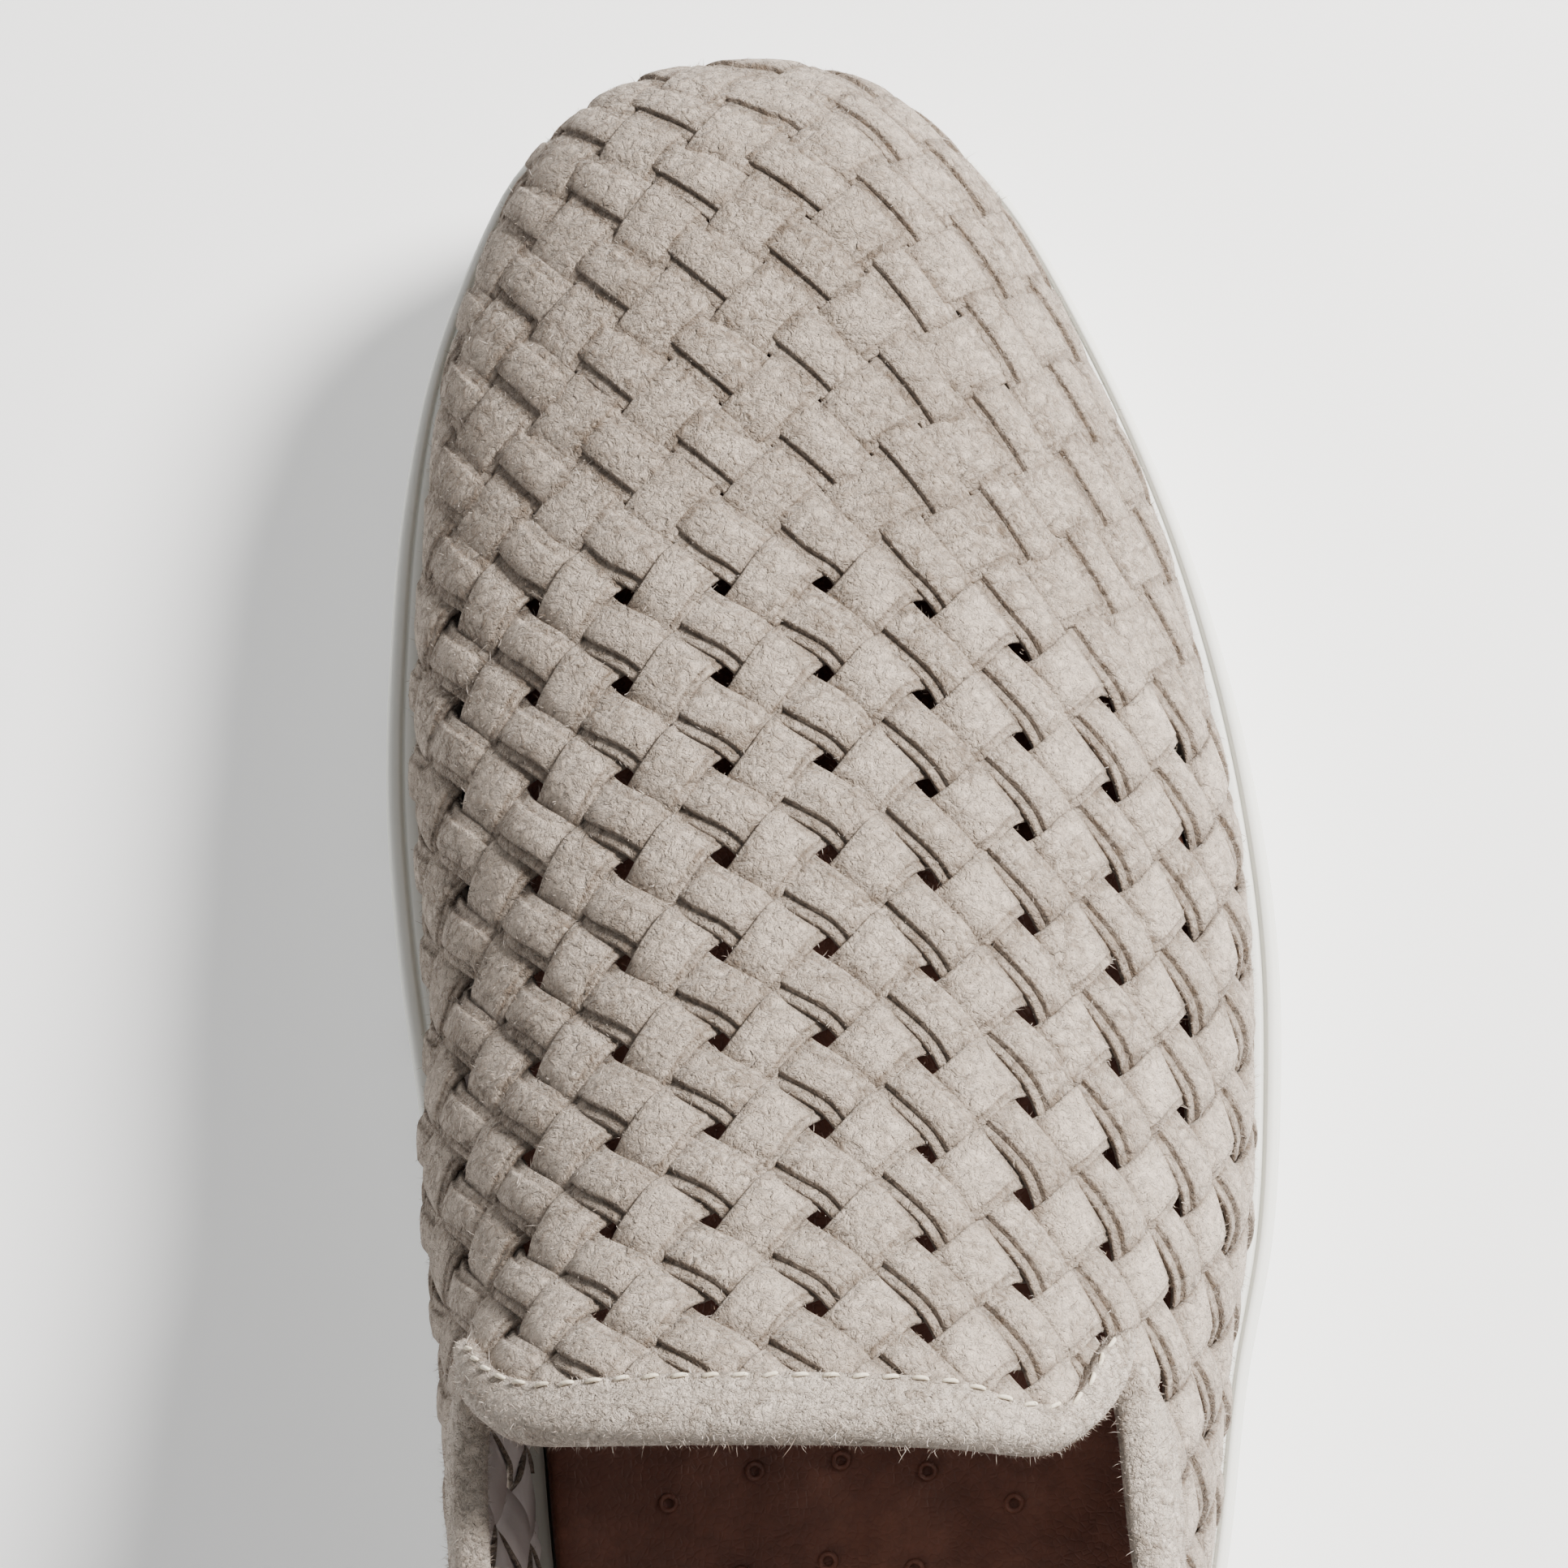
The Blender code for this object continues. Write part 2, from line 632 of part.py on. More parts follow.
def vertex_place(key, partner=None):
    """Sheet coordinates of a lattice corner; on the seam its partner says which leg is meant."""
    m, n = key
    if n == SEAM_ROW and partner is not None and partner[1] != SEAM_ROW:
        m = abs(m) if partner[0] > 0 else -abs(m)
    return m * HALF, n * HALF + ROW_OFFSET


def canonical(m, n):
    if n < SEAM_ROW:
        m, n = -m, 2 * SEAM_ROW - n
    if n == SEAM_ROW:
        m = abs(m)
    return m, n


def crossing(inside_key, outside_key):
    """Where the wall ends on a lattice edge: share from the inside corner, value and kind."""
    start = np.array(vertex_place(inside_key, outside_key))
    end = np.array(vertex_place(outside_key, inside_key))
    low, high = 0.0, 1.0
    for _ in range(12):
        mid = (low + high) / 2
        _, inside = sample(*(start + (end - start) * mid))
        if inside:
            low = mid
        else:
            high = mid
    value, _ = sample(*(start + (end - start) * low))
    beyond, _ = sample(*(start + (end - start) * min(1.0, high + 0.002)))
    kind = "feather"
    if beyond is not None and value[2] > rim_height(value[1]) and beyond[1] < WEAVE_END_Y + 1e-5:
        ahead = WEAVE_END_Y - beyond[1]
        above = beyond[2] - weave_top(beyond[1])
        kind = "throat" if ahead < above else "topline"
    return low, value, kind


def throat_corner(side):
    """Point and normal where the end of the weave meets the foot of the collar binding."""
    grid, arcs, normals = TABLES[side]
    profile = grid[THROAT_STATION]
    arc = float(np.interp(weave_top(WEAVE_END_Y), profile[:, 2], arcs[THROAT_STATION]))
    value = np.array(at_arc(side, THROAT_STATION, arc))
    value[4] = 0.0
    return value


def weave_cells():
    """Cells of the weave as loops of vertex keys, with the sheet point of each vertex."""
    most = int(GIRTH / HALF) + 2
    longest = int(sheet_line(0.0)[0][-1] / HALF) + 3
    values = {}
    state = {}
    for m in range(-most, most + 1):
        for n in range(SEAM_ROW, longest + 1):
            if (m + n) % 2 or canonical(m, n) != (m, n):
                continue
            value, inside = sample(*vertex_place((m, n)))
            state[(m, n)] = inside
            if inside:
                values[(m, n)] = value
    crossings = {}

    def edge_point(inside_key, outside_key):
        pair = (inside_key, outside_key)
        if pair not in crossings:
            share, value, kind = crossing(inside_key, outside_key)
            if kind == "throat":
                # the cut edge stands square to the shoe's length
                value[4] = 0.0
            if share < SNAP_SHARE:
                key = inside_key
            elif share > 1 - SNAP_SHARE:
                key = outside_key
            else:
                key = ("edge", inside_key, outside_key)
            values[key] = value
            crossings[pair] = (key, kind)
        return crossings[pair]

    cells = []
    for cm in range(-most, most + 1):
        for cn in range(SEAM_ROW, longest + 1):
            if (cm + cn) % 2 == 0 or (cn == SEAM_ROW and cm <= 0):
                continue
            around = ((cm + 1, cn), (cm, cn + 1), (cm - 1, cn), (cm, cn - 1))
            corners = [canonical(*c) for c in around]
            flags = [state.get(c, False) for c in corners]
            if not any(flags):
                continue
            loop = []
            kinds = []
            for k in range(4):
                here, there = corners[k], corners[(k + 1) % 4]
                if flags[k]:
                    loop.append(here)
                    if not flags[(k + 1) % 4]:
                        key, kind = edge_point(here, there)
                        loop.append(key)
                        kinds.append((len(loop) - 1, kind))
                elif flags[(k + 1) % 4]:
                    key, kind = edge_point(there, here)
                    loop.append(key)
                    kinds.append((len(loop) - 1, kind))
            names = {kind for _, kind in kinds}
            if names == {"throat", "topline"} and len(kinds) == 2:
                side = 1 if cm > 0 else -1
                key = ("corner", side)
                values[key] = throat_corner(side)
                last = kinds[0][0]
                after = kinds[1][0]
                place = last + 1 if after == last + 1 else after + 1
                loop.insert(place, key)
                loop = loop[place:] + loop[:place]
            slim = [v for i, v in enumerate(loop) if v != loop[i - 1]]
            if len(set(slim)) < 3:
                continue
            whole = all(flags) and not kinds
            cells.append({"loop": slim, "whole": whole, "at": (cm, cn), "corners": corners})
    return cells, values


def choose_holes(cells, values):
    """Corners of the lattice that are cut through, the ones ahead of the throat first."""
    around = {}
    for cell in cells:
        if cell["whole"]:
            for corner in cell["corners"]:
                around[corner] = around.get(corner, 0) + 1
    found = []
    for corner, count in around.items():
        m, n = corner
        if count < 4 or m % 2 or n % 2:
            continue
        value = values[corner]
        ahead = n * HALF + ROW_OFFSET
        if ahead > HOLE_ROWS_AHEAD or value[2] < rim_height(value[1]) + HOLE_ABOVE_RIM:
            continue
        found.append((max(0.0, -ahead), corner))
    found.sort()
    return {corner for _, corner in found[:MOST_HOLES]}


def build_upper(collection):
    cells, values = weave_cells()
    holes = choose_holes(cells, values)
    verts = []
    outer = {}
    inner = {}

    def both(key):
        if key not in outer:
            value = values[key]
            point = value[:3]
            normal = value[3:] / max(np.linalg.norm(value[3:]), 1e-9)
            outer[key] = len(verts)
            verts.append(point)
            inner[key] = len(verts)
            verts.append(point - normal * WALL)
        return outer[key], inner[key]

    def hole_key(corner, toward):
        key = ("hole", corner, toward)
        if key not in values:
            start = np.array(vertex_place(corner, toward))
            end = np.array(vertex_place(toward, corner))
            value, _ = sample(*(start + (end - start) * HOLE_SHARE))
            values[key] = value
        return key

    faces = []
    edges = {}
    for cell in cells:
        if not cell["whole"]:
            groups = [[v] for v in cell["loop"]]
        else:
            corners = cell["corners"]
            groups = []
            for k, corner in enumerate(corners):
                if corner in holes:
                    before, after = corners[k - 1], corners[(k + 1) % 4]
                    groups.append([hole_key(corner, before), hole_key(corner, after)])
                else:
                    groups.append([corner])
        loop = [v for g in groups for v in g]
        for v in loop:
            both(v)
        for k, v in enumerate(loop):
            w = loop[(k + 1) % len(loop)]
            edges[(v, w)] = edges.get((v, w), 0) + 1
        inside = [inner[v] for v in loop]
        for k in range(1, len(inside) - 1):
            faces.append((inside[0], inside[k + 1], inside[k]))
        if not cell["whole"]:
            top = [outer[v] for v in loop]
            points = np.array([values[v] for v in loop])
            hidden = points[:, 2].mean() < rim_height(points[:, 1].mean()) + PAD_ABOVE_RIM
            if hidden or len(top) < 4 or ("corner", 1) in loop or ("corner", -1) in loop:
                for k in range(1, len(top) - 1):
                    faces.append((top[0], top[k], top[k + 1]))
                continue
            centre = points.mean(axis=0)
            pad = []
            for value in points:
                value = centre + (value - centre) * PART_STRIP_SHARE
                normal = value[3:] / np.linalg.norm(value[3:])
                pad.append(len(verts))
                verts.append(value[:3] + normal * STRIP_RAISE * 0.8)
            for k in range(len(top)):
                n = (k + 1) % len(top)
                faces.append((top[k], top[n], pad[n]))
                faces.append((top[k], pad[n], pad[k]))
            for k in range(1, len(pad) - 1):
                faces.append((pad[0], pad[k], pad[k + 1]))
            continue
        cm, cn = cell["at"]
        rising = cm % 2 == 1
        corner_values = [np.array(values[c]) for c in cell["corners"]]
        right, top, left, bottom = corner_values
        side, end = STRIP_SIDE_SHARE, STRIP_END_SHARE
        # u runs from the bottom corner to the right one, w from the bottom corner to the left one
        u, w = (end, side) if rising else (side, end)
        raise_by = STRIP_RAISE if cn * HALF < HOLE_ROWS_AHEAD else TOE_STRIP_RAISE
        pad = []
        for a, b in ((1 - u, w), (1 - u, 1 - w), (u, 1 - w), (u, w)):
            value = (
                bottom * (1 - a) * (1 - b) + right * a * (1 - b) + top * a * b + left * (1 - a) * b
            )
            normal = value[3:] / np.linalg.norm(value[3:])
            pad.append(len(verts))
            verts.append(value[:3] + normal * raise_by)
        for k in range(4):
            n = (k + 1) % 4
            start = outer[groups[k][-1]]
            finish = outer[groups[n][0]]
            faces.append((start, finish, pad[n]))
            faces.append((start, pad[n], pad[k]))
            if len(groups[k]) == 2:
                faces.append((outer[groups[k][0]], outer[groups[k][1]], pad[k]))
        faces.append((pad[0], pad[1], pad[2]))
        faces.append((pad[0], pad[2], pad[3]))
    for (v, w), _ in edges.items():
        if (w, v) in edges:
            continue
        faces.append((outer[w], outer[v], inner[v]))
        faces.append((outer[w], inner[v], inner[w]))
    return make_object("upper", verts, faces, (0.48, 0.43, 0.38), 0.9, collection)


def sweep(rows, name, colour, collection):
    """Closed band from rows of profile points."""
    count = len(rows[0])
    verts = [p for row in rows for p in row]
    faces = []
    for level in range(len(rows) - 1):
        low = level * count
        high = low + count
        for k in range(count):
            n = (k + 1) % count
            faces.append((low + k, low + n, high + n))
            faces.append((low + k, high + n, high + k))
    last = (len(rows) - 1) * count
    for k in range(1, count - 1):
        faces.append((0, k + 1, k))
        faces.append((last, last + k, last + k + 1))
    return make_object(name, verts, faces, colour, 0.9, collection)


def band_profile(start, finish):
    """Rounded band between two sheet values, start at its seam and finish at its free edge."""
    a, b = np.array(start), np.array(finish)
    normal = a[3:] + b[3:]
    normal /= np.linalg.norm(normal)
    run = b[:3] - a[:3]
    middle = a[:3] + run * 0.55
    edge = a[:3] + run * 0.94
    return [
        a[:3] + normal * BINDING_OUT * 0.75,
        middle + normal * BINDING_OUT,
        edge + normal * BINDING_OUT * 0.55,
        b[:3] - normal * WALL * 0.5,
        edge - normal * BINDING_IN * 0.85,
        middle - normal * BINDING_IN,
        a[:3] - normal * BINDING_IN * 0.85,
    ]


def section_value(side, y, span):
    """Sheet value in the plane at y, span away from the ridge."""
    line = OUTER_LINE if side > 0 else INNER_LINE
    order = np.argsort(line[:, 1])
    foot_x = float(np.interp(y, line[order, 1], line[order, 0]))
    middle_x = float(smooth(SECTION, 1, share_of(y))) * float(width_at(y))
    profile = wall_profile((foot_x, y), (middle_x, y), y, side)
    arcs = np.concatenate([[0.0], np.cumsum(np.linalg.norm(np.diff(profile, axis=0), axis=1))])
    arc = arcs[-1] - span
    point = np.array([np.interp(arc, arcs, profile[:, c]) for c in range(3)])
    up = np.gradient(profile, axis=0)
    tangent = np.array([np.interp(arc, arcs, up[:, c]) for c in range(3)])
    slope = np.array([0.0, 1.0, -0.36])
    normal = np.cross(tangent, slope) * -side
    return np.concatenate([point, normal / np.linalg.norm(normal)]), profile, arcs


def throat_reach(side, y):
    """Distance from the ridge to just above the collar's top edge, in the plane at y."""
    _, profile, arcs = section_value(side, y, 0.0)
    arc = float(np.interp(collar_top(y) + BINDING_GAP, profile[:, 2], arcs))
    return float(arcs[-1] - arc)


def build_throat_binding(collection):
    front = WEAVE_END_Y - EDGE_GAP
    back = THROAT_Y
    rows = []
    reach_in = (throat_reach(-1, front), throat_reach(-1, back))
    reach_out = (throat_reach(1, front), throat_reach(1, back))
    steps = 14
    for k in range(-steps, steps + 1):
        share = k / steps
        side = 1 if share >= 0 else -1
        reach = reach_out if side > 0 else reach_in
        # the free edge turns forward round the corners of the flap
        bend = np.clip((abs(share) - 1) / FLAP_CORNER_SHARE + 1, 0.0, 1.0)
        turned = FLAP_CORNER * (1 - math.sqrt(1 - bend**2))
        span = reach[1] + (reach[0] - reach[1]) * turned / (front - back)
        start, _, _ = section_value(side, front, abs(share) * reach[0])
        finish, _, _ = section_value(side, back + turned, abs(share) * span)
        rows.append(band_profile(start, finish))
    return sweep(rows, "throat_binding", (0.50, 0.46, 0.41), collection)


def collar_rows(side):
    grid, arcs, _ = TABLES[side]
    rows = []
    stations = list(range(THROAT_STATION, len(grid), 2))
    if stations[-1] != len(grid) - 1:
        stations.append(len(grid) - 1)
    for number, j in enumerate(stations):
        profile = grid[j]
        y = float(profile[-1, 1]) if j < len(STATION_YS) else None
        foot_y = float(profile[0, 1]) if y is None else y
        top = collar_top(foot_y)
        low_arc = float(np.interp(top - COLLAR_WIDTH + EDGE_GAP, profile[:, 2], arcs[j]))
        high_arc = float(np.interp(top, profile[:, 2], arcs[j]))
        start = np.array(at_arc(side, j, low_arc))
        finish = np.array(at_arc(side, j, high_arc))
        if number == 0:
            start[1] -= EDGE_GAP
            finish[1] -= EDGE_GAP
        rows.append(band_profile(start, finish))
    return rows


def build_collar_binding(collection):
    outer_rows = collar_rows(1)
    inner_rows = collar_rows(-1)
    rows = outer_rows + inner_rows[::-1][1:]
    return sweep(rows, "collar_binding", (0.50, 0.46, 0.41), collection)


def main():
    for obj in list(bpy.data.objects):
        bpy.data.objects.remove(obj, do_unlink=True)
    shoe = bpy.data.collections.new("woven_shoe")
    cutters = bpy.data.collections.new("cutters")
    bpy.context.scene.collection.children.link(shoe)
    bpy.context.scene.collection.children.link(cutters)
    build_sole(shoe, cutters)
    build_insole(shoe)
    build_upper(shoe)
    build_throat_binding(shoe)
    build_collar_binding(shoe)


main()
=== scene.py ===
"""Looks of the woven shoe: suede strips, folded bindings, leather insole and rubber sole.

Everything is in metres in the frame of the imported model: +Y to the toe, +X to the outer side.
"""
import math

import bpy
import numpy as np
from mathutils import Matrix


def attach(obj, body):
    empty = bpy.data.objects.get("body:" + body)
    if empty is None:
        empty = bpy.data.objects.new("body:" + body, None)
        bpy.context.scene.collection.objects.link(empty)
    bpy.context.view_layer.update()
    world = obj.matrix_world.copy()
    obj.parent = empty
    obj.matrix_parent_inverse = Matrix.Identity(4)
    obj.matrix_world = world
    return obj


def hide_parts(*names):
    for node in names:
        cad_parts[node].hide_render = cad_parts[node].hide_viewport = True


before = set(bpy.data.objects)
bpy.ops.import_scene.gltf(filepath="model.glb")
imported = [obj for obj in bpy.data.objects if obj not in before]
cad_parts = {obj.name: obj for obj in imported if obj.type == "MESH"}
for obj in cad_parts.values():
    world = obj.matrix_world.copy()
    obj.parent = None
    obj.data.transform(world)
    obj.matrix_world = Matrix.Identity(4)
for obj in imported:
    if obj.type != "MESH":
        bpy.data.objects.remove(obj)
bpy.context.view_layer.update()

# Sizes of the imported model
SOLE_LENGTH = 0.299
BALL_WIDTH = 0.1042
HEEL_WIDTH = 0.0748
RIM_HEIGHT_HEEL = 0.029
RIM_HEIGHT_BALL = 0.024
RIM_HEIGHT_TOE = 0.023
TOE_SPRING = 0.009
ARCH_LIFT = 0.0016
HEEL_BEVEL = 0.0025
TOE_BOX_HEIGHT = 0.031
TOE_OVERHANG = 0.004
INSTEP_HEIGHT = 0.064
ANKLE_HEIGHT = 0.098
TOPLINE_FRONT = 0.07
TOPLINE_SIDE = 0.067
TOPLINE_HEEL = 0.079
THROAT_FROM_TOE = 0.1755
RIM_WIDTH = 0.0046
LEDGE_DEPTH = 0.0048
PAN_DEPTH = 0.0092
INSOLE_THICKNESS = 0.0058
WALL = 0.0016
STRIP_RAISE = 0.0009
HOLE_PITCH = 0.0114
HOLE_ROWS_AHEAD = 0.101
ROW_LEAN = 0.0215
ROW_LEAN_SPAN = 0.064
ROW_OFFSET = 0.0095
BINDING_WIDTH = 0.0074
COLLAR_WIDTH = 0.0066
EDGE_GAP = 0.0003
SIDE_GAP = 0.001
INSOLE_GAP = 0.00035
TREAD_GROOVE_WIDTH = 0.003
TREAD_GROOVE_DEPTH = 0.002
TREAD_GROOVE_PITCH = 0.0125

# Outline of the sole: along, inner, outer, how far the width follows the ball
OUTLINE = (
    (0.01, -0.147, 0.174, 0.0),
    (0.0318, -0.301, 0.321, 0.0),
    (0.0652, -0.401, 0.421, 0.0),
    (0.1154, -0.465, 0.484, 0.0),
    (0.1823, -0.484, 0.508, 0.0),
    (0.2659, -0.47, 0.508, 0.15),
    (0.3495, -0.446, 0.494, 0.35),
    (0.4164, -0.433, 0.487, 0.6),
    (0.4732, -0.425, 0.48, 0.8),
    (0.5301, -0.435, 0.485, 1.0),
    (0.587, -0.46, 0.498, 1.0),
    (0.6438, -0.485, 0.499, 1.0),
    (0.704, -0.5, 0.48, 1.0),
    (0.7642, -0.499, 0.444, 1.0),
    (0.8244, -0.487, 0.391, 1.0),
    (0.8846, -0.455, 0.316, 1.0),
    (0.9415, -0.393, 0.226, 1.0),
    (0.9615, -0.359, 0.178, 1.0),
    (0.9816, -0.297, 0.106, 1.0),
    (0.995, -0.2, 0.005, 1.0),
)
TOE_TIP_SHARE = -0.096
HEEL_TIP_SHARE = 0.013
# Underside: along, spring, arch, bevel
BOTTOM_LINE = (
    (0.0, 0.0, 0.0, 1.0),
    (0.06, 0.0, 0.0, 0.0),
    (0.29, 0.0, 0.0, 0.0),
    (0.37, 0.0, 1.0, 0.0),
    (0.48, 0.0, 1.0, 0.0),
    (0.56, 0.0, 0.0, 0.0),
    (0.78, 0.0, 0.0, 0.0),
    (0.87, 0.16, 0.0, 0.0),
    (0.94, 0.52, 0.0, 0.0),
    (1.0, 1.0, 0.0, 0.0),
)
# Rim: along, heel, ball, toe, spring
RIM_LINE = (
    (0.0, 1.04, 0.0, 0.0, 0.0),
    (0.15, 1.0, 0.0, 0.0, 0.0),
    (0.42, 0.5, 0.5, 0.0, 0.0),
    (0.65, 0.0, 1.0, 0.0, 0.0),
    (0.82, 0.0, 0.7, 0.3, 0.13),
    (0.92, 0.0, 0.0, 1.0, 0.46),
    (1.0, 0.0, 0.0, 1.0, 0.95),
)
# Ridge of the upper: along, toe box, instep, ankle
RIDGE_LINE = (
    (0.06, 0.0, 0.0, 1.03),
    (0.15, 0.0, 0.0, 1.0),
    (0.3, 0.0, 0.3, 0.64),
    (0.37, 0.0, 0.75, 0.22),
    (0.413, 0.0, 1.0, 0.0),
    (0.5, 0.13, 0.8, 0.0),
    (0.58, 0.3, 0.6, 0.0),
    (0.67, 0.55, 0.385, 0.0),
    (0.75, 0.75, 0.205, 0.0),
    (0.84, 0.93, 0.06, 0.0),
    (0.92, 1.0, 0.0, 0.0),
    (1.0, 1.0, 0.0, 0.0),
)
# Cross-section: along, ridge across, inner and outer fullness, inner and outer bulge, inner lean
SECTION = (
    (0.06, 0.013, 2.8, 2.8, 0.026, 0.026, 0.0),
    (0.15, 0.01, 2.85, 2.8, 0.034, 0.03, 0.016),
    (0.3, -0.012, 3.2, 2.7, 0.056, 0.036, 0.082),
    (0.413, -0.024, 3.6, 2.6, 0.033, 0.034, 0.112),
    (0.5, -0.016, 2.8, 2.45, 0.057, 0.032, 0.05),
    (0.56, -0.01, 2.5, 2.42, 0.058, 0.031, 0.022),
    (0.62, -0.006, 2.4, 2.4, 0.04, 0.03, 0.0),
    (0.75, -0.008, 2.45, 2.45, 0.034, 0.03, 0.0),
    (0.88, -0.016, 2.5, 2.5, 0.036, 0.025, 0.0),
    (0.95, -0.05, 2.5, 2.5, 0.028, 0.014, 0.0),
    (0.985, -0.088, 2.5, 2.5, 0.01, 0.01, 0.0),
    (1.0, -0.096, 2.5, 2.5, 0.0, 0.0, 0.0),
)
RIM_SHARE = (
    (0.0, 0.85),
    (0.15, 0.78),
    (0.45, 0.76),
    (0.62, 0.94),
    (0.78, 0.86),
    (0.9, 0.66),
    (1.0, 0.58),
)
# Collar: along from the end of the weave, front, side, heel
COLLAR_LINE = (
    (0.0, 1.0, 0.0, 0.0),
    (0.38, 0.0, 1.0, 0.0),
    (0.7, 0.0, 0.5, 0.5),
    (1.0, 0.0, 0.0, 1.0),
)
TOE_CAP_SHARE = 0.125
TOE_CAP_FULLNESS = 2.75
TOE_OVERHANG_SHARE = 0.13
HEEL_AXIS_SHARE = 0.15


def smooth(table, column, at):
    """Monotone cubic through one column of a table whose first column is the place."""
    xs = np.array([row[0] for row in table])
    ys = np.array([row[column] for row in table])
    steps = np.diff(xs)
    slopes = np.diff(ys) / steps
    tangents = np.concatenate([slopes[:1], np.zeros(len(xs) - 2), slopes[-1:]])
    for k in range(1, len(xs) - 1):
        if slopes[k - 1] * slopes[k] > 0:
            w1 = 2 * steps[k] + steps[k - 1]
            w2 = steps[k] + 2 * steps[k - 1]
            tangents[k] = (w1 + w2) / (w1 / slopes[k - 1] + w2 / slopes[k])
    at = np.clip(np.asarray(at, float), xs[0], xs[-1])
    cell = np.clip(np.searchsorted(xs, at) - 1, 0, len(xs) - 2)
    t = (at - xs[cell]) / steps[cell]
    return (
        ys[cell] * (1 + 2 * t) * (1 - t) ** 2
        + steps[cell] * tangents[cell] * t * (1 - t) ** 2
        + ys[cell + 1] * t * t * (3 - 2 * t)
        + steps[cell] * tangents[cell + 1] * t * t * (t - 1)
    )


def ramp(low, high, at):
    """0 below low, 1 above high, smooth between."""
    t = np.clip((np.asarray(at, float) - low) / (high - low), 0.0, 1.0)
    return t * t * (3 - 2 * t)


def unit(rows):
    return rows / np.linalg.norm(rows, axis=1)[:, None]


def run_along(points):
    """Distance of each point from the first, along the line."""
    return np.concatenate([[0.0], np.cumsum(np.linalg.norm(np.diff(points, axis=0), axis=1))])


def between(at, places, values):
    """Every column of the values, read at one place or at several."""
    return np.stack([np.interp(at, places, column) for column in np.transpose(values)], axis=-1)


def share_of(y):
    return np.asarray(y, float) / SOLE_LENGTH + 0.5


def blend(table, at, *weights):
    """Sum of a table's columns after the first, each times its weight."""
    return sum(weight * smooth(table, column, at) for column, weight in enumerate(weights, 1))


def bottom_height(y):
    return blend(BOTTOM_LINE, share_of(y), TOE_SPRING, ARCH_LIFT, HEEL_BEVEL)


def rim_height(y):
    heights = (RIM_HEIGHT_HEEL, RIM_HEIGHT_BALL, RIM_HEIGHT_TOE, TOE_SPRING)
    return blend(RIM_LINE, share_of(y), *heights)


def outline_points():
    outer = []
    inner = []
    for along, inner_share, outer_share, ball in OUTLINE:
        width = ball * BALL_WIDTH + (1 - ball) * HEEL_WIDTH
        y = (along - 0.5) * SOLE_LENGTH
        outer.append((outer_share * width, y))
        inner.append((inner_share * width, y))
    toe = (TOE_TIP_SHARE * BALL_WIDTH, SOLE_LENGTH / 2)
    heel = (HEEL_TIP_SHARE * HEEL_WIDTH, -SOLE_LENGTH / 2)
    return [toe] + outer[::-1] + [heel] + inner


def closed_curve(points, per_span=40):
    pts = np.array(points)
    count = len(pts)
    out = []
    for k in range(count):
        p0, p1, p2, p3 = (pts[(k + d) % count] for d in (-1, 0, 1, 2))
        t1 = np.linalg.norm(p1 - p0) ** 0.5
        t2 = t1 + np.linalg.norm(p2 - p1) ** 0.5
        t3 = t2 + np.linalg.norm(p3 - p2) ** 0.5
        for t in np.linspace(t1, t2, per_span, endpoint=False):

            def mix(low, high, a, b):
                return (high - t) / (high - low) * a + (t - low) / (high - low) * b

            a1, a2, a3 = mix(0.0, t1, p0, p1), mix(t1, t2, p1, p2), mix(t2, t3, p2, p3)
            out.append(mix(t1, t2, mix(0.0, t2, a1, a2), mix(t1, t3, a2, a3)))
    return np.array(out)


CURVE = closed_curve(outline_points())
CURVE_STEP = np.roll(CURVE, -1, axis=0) - np.roll(CURVE, 1, axis=0)
CURVE_OUT = np.stack([-CURVE_STEP[:, 1], CURVE_STEP[:, 0]], axis=1)
CURVE_OUT = unit(CURVE_OUT)
HALF_COUNT = int(np.argmin(CURVE[:, 1]))
CURVE_RIM = RIM_WIDTH * smooth(RIM_SHARE, 1, share_of(CURVE[:, 1]))


def inset_curve(inset, rim=0.0):
    return CURVE - CURVE_OUT * (inset + rim * CURVE_RIM)[:, None]


def side_lines(inset, rim):
    loop = inset_curve(inset, rim)
    return loop[: HALF_COUNT + 1], np.vstack([loop[:1], loop[HALF_COUNT:][::-1]])


UPPER_INSET = SIDE_GAP + STRIP_RAISE
PAN_INSET = UPPER_INSET + WALL + SIDE_GAP
PROFILE_POINTS = 60
OUTER_LINE, INNER_LINE = side_lines(UPPER_INSET, 1.0)
TOE_Y = float(OUTER_LINE[0][1])
HEEL_Y = (HEEL_AXIS_SHARE - 0.5) * SOLE_LENGTH
THROAT_Y = SOLE_LENGTH / 2 - THROAT_FROM_TOE
WEAVE_END_Y = THROAT_Y + BINDING_WIDTH


def width_at(y):
    at = share_of(y)
    ball = np.interp(at, [row[0] for row in OUTLINE], [row[3] for row in OUTLINE])
    return ball * BALL_WIDTH + (1 - ball) * HEEL_WIDTH


def ridge_height(y):
    height = blend(RIDGE_LINE, share_of(y), TOE_BOX_HEIGHT, INSTEP_HEIGHT, ANKLE_HEIGHT)
    back = np.clip((TOE_Y - y) / (TOE_CAP_SHARE * SOLE_LENGTH), 0.0, 1.0)
    return height * (1 - (1 - back) ** TOE_CAP_FULLNESS) ** (1 / TOE_CAP_FULLNESS)


def swell(height):
    """Bulge of a wall at a share of its height: 0 at both ends, 1 about a third of the way up."""
    peak, lower_power, upper_power = 0.36, 1.6, 2.8
    return (height / peak) ** lower_power * ((1 - height) / (1 - peak)) ** upper_power


def above_rim(rise, total):
    return np.clip((rise - LEDGE_DEPTH) / (total - LEDGE_DEPTH), 0.0, 1.0)


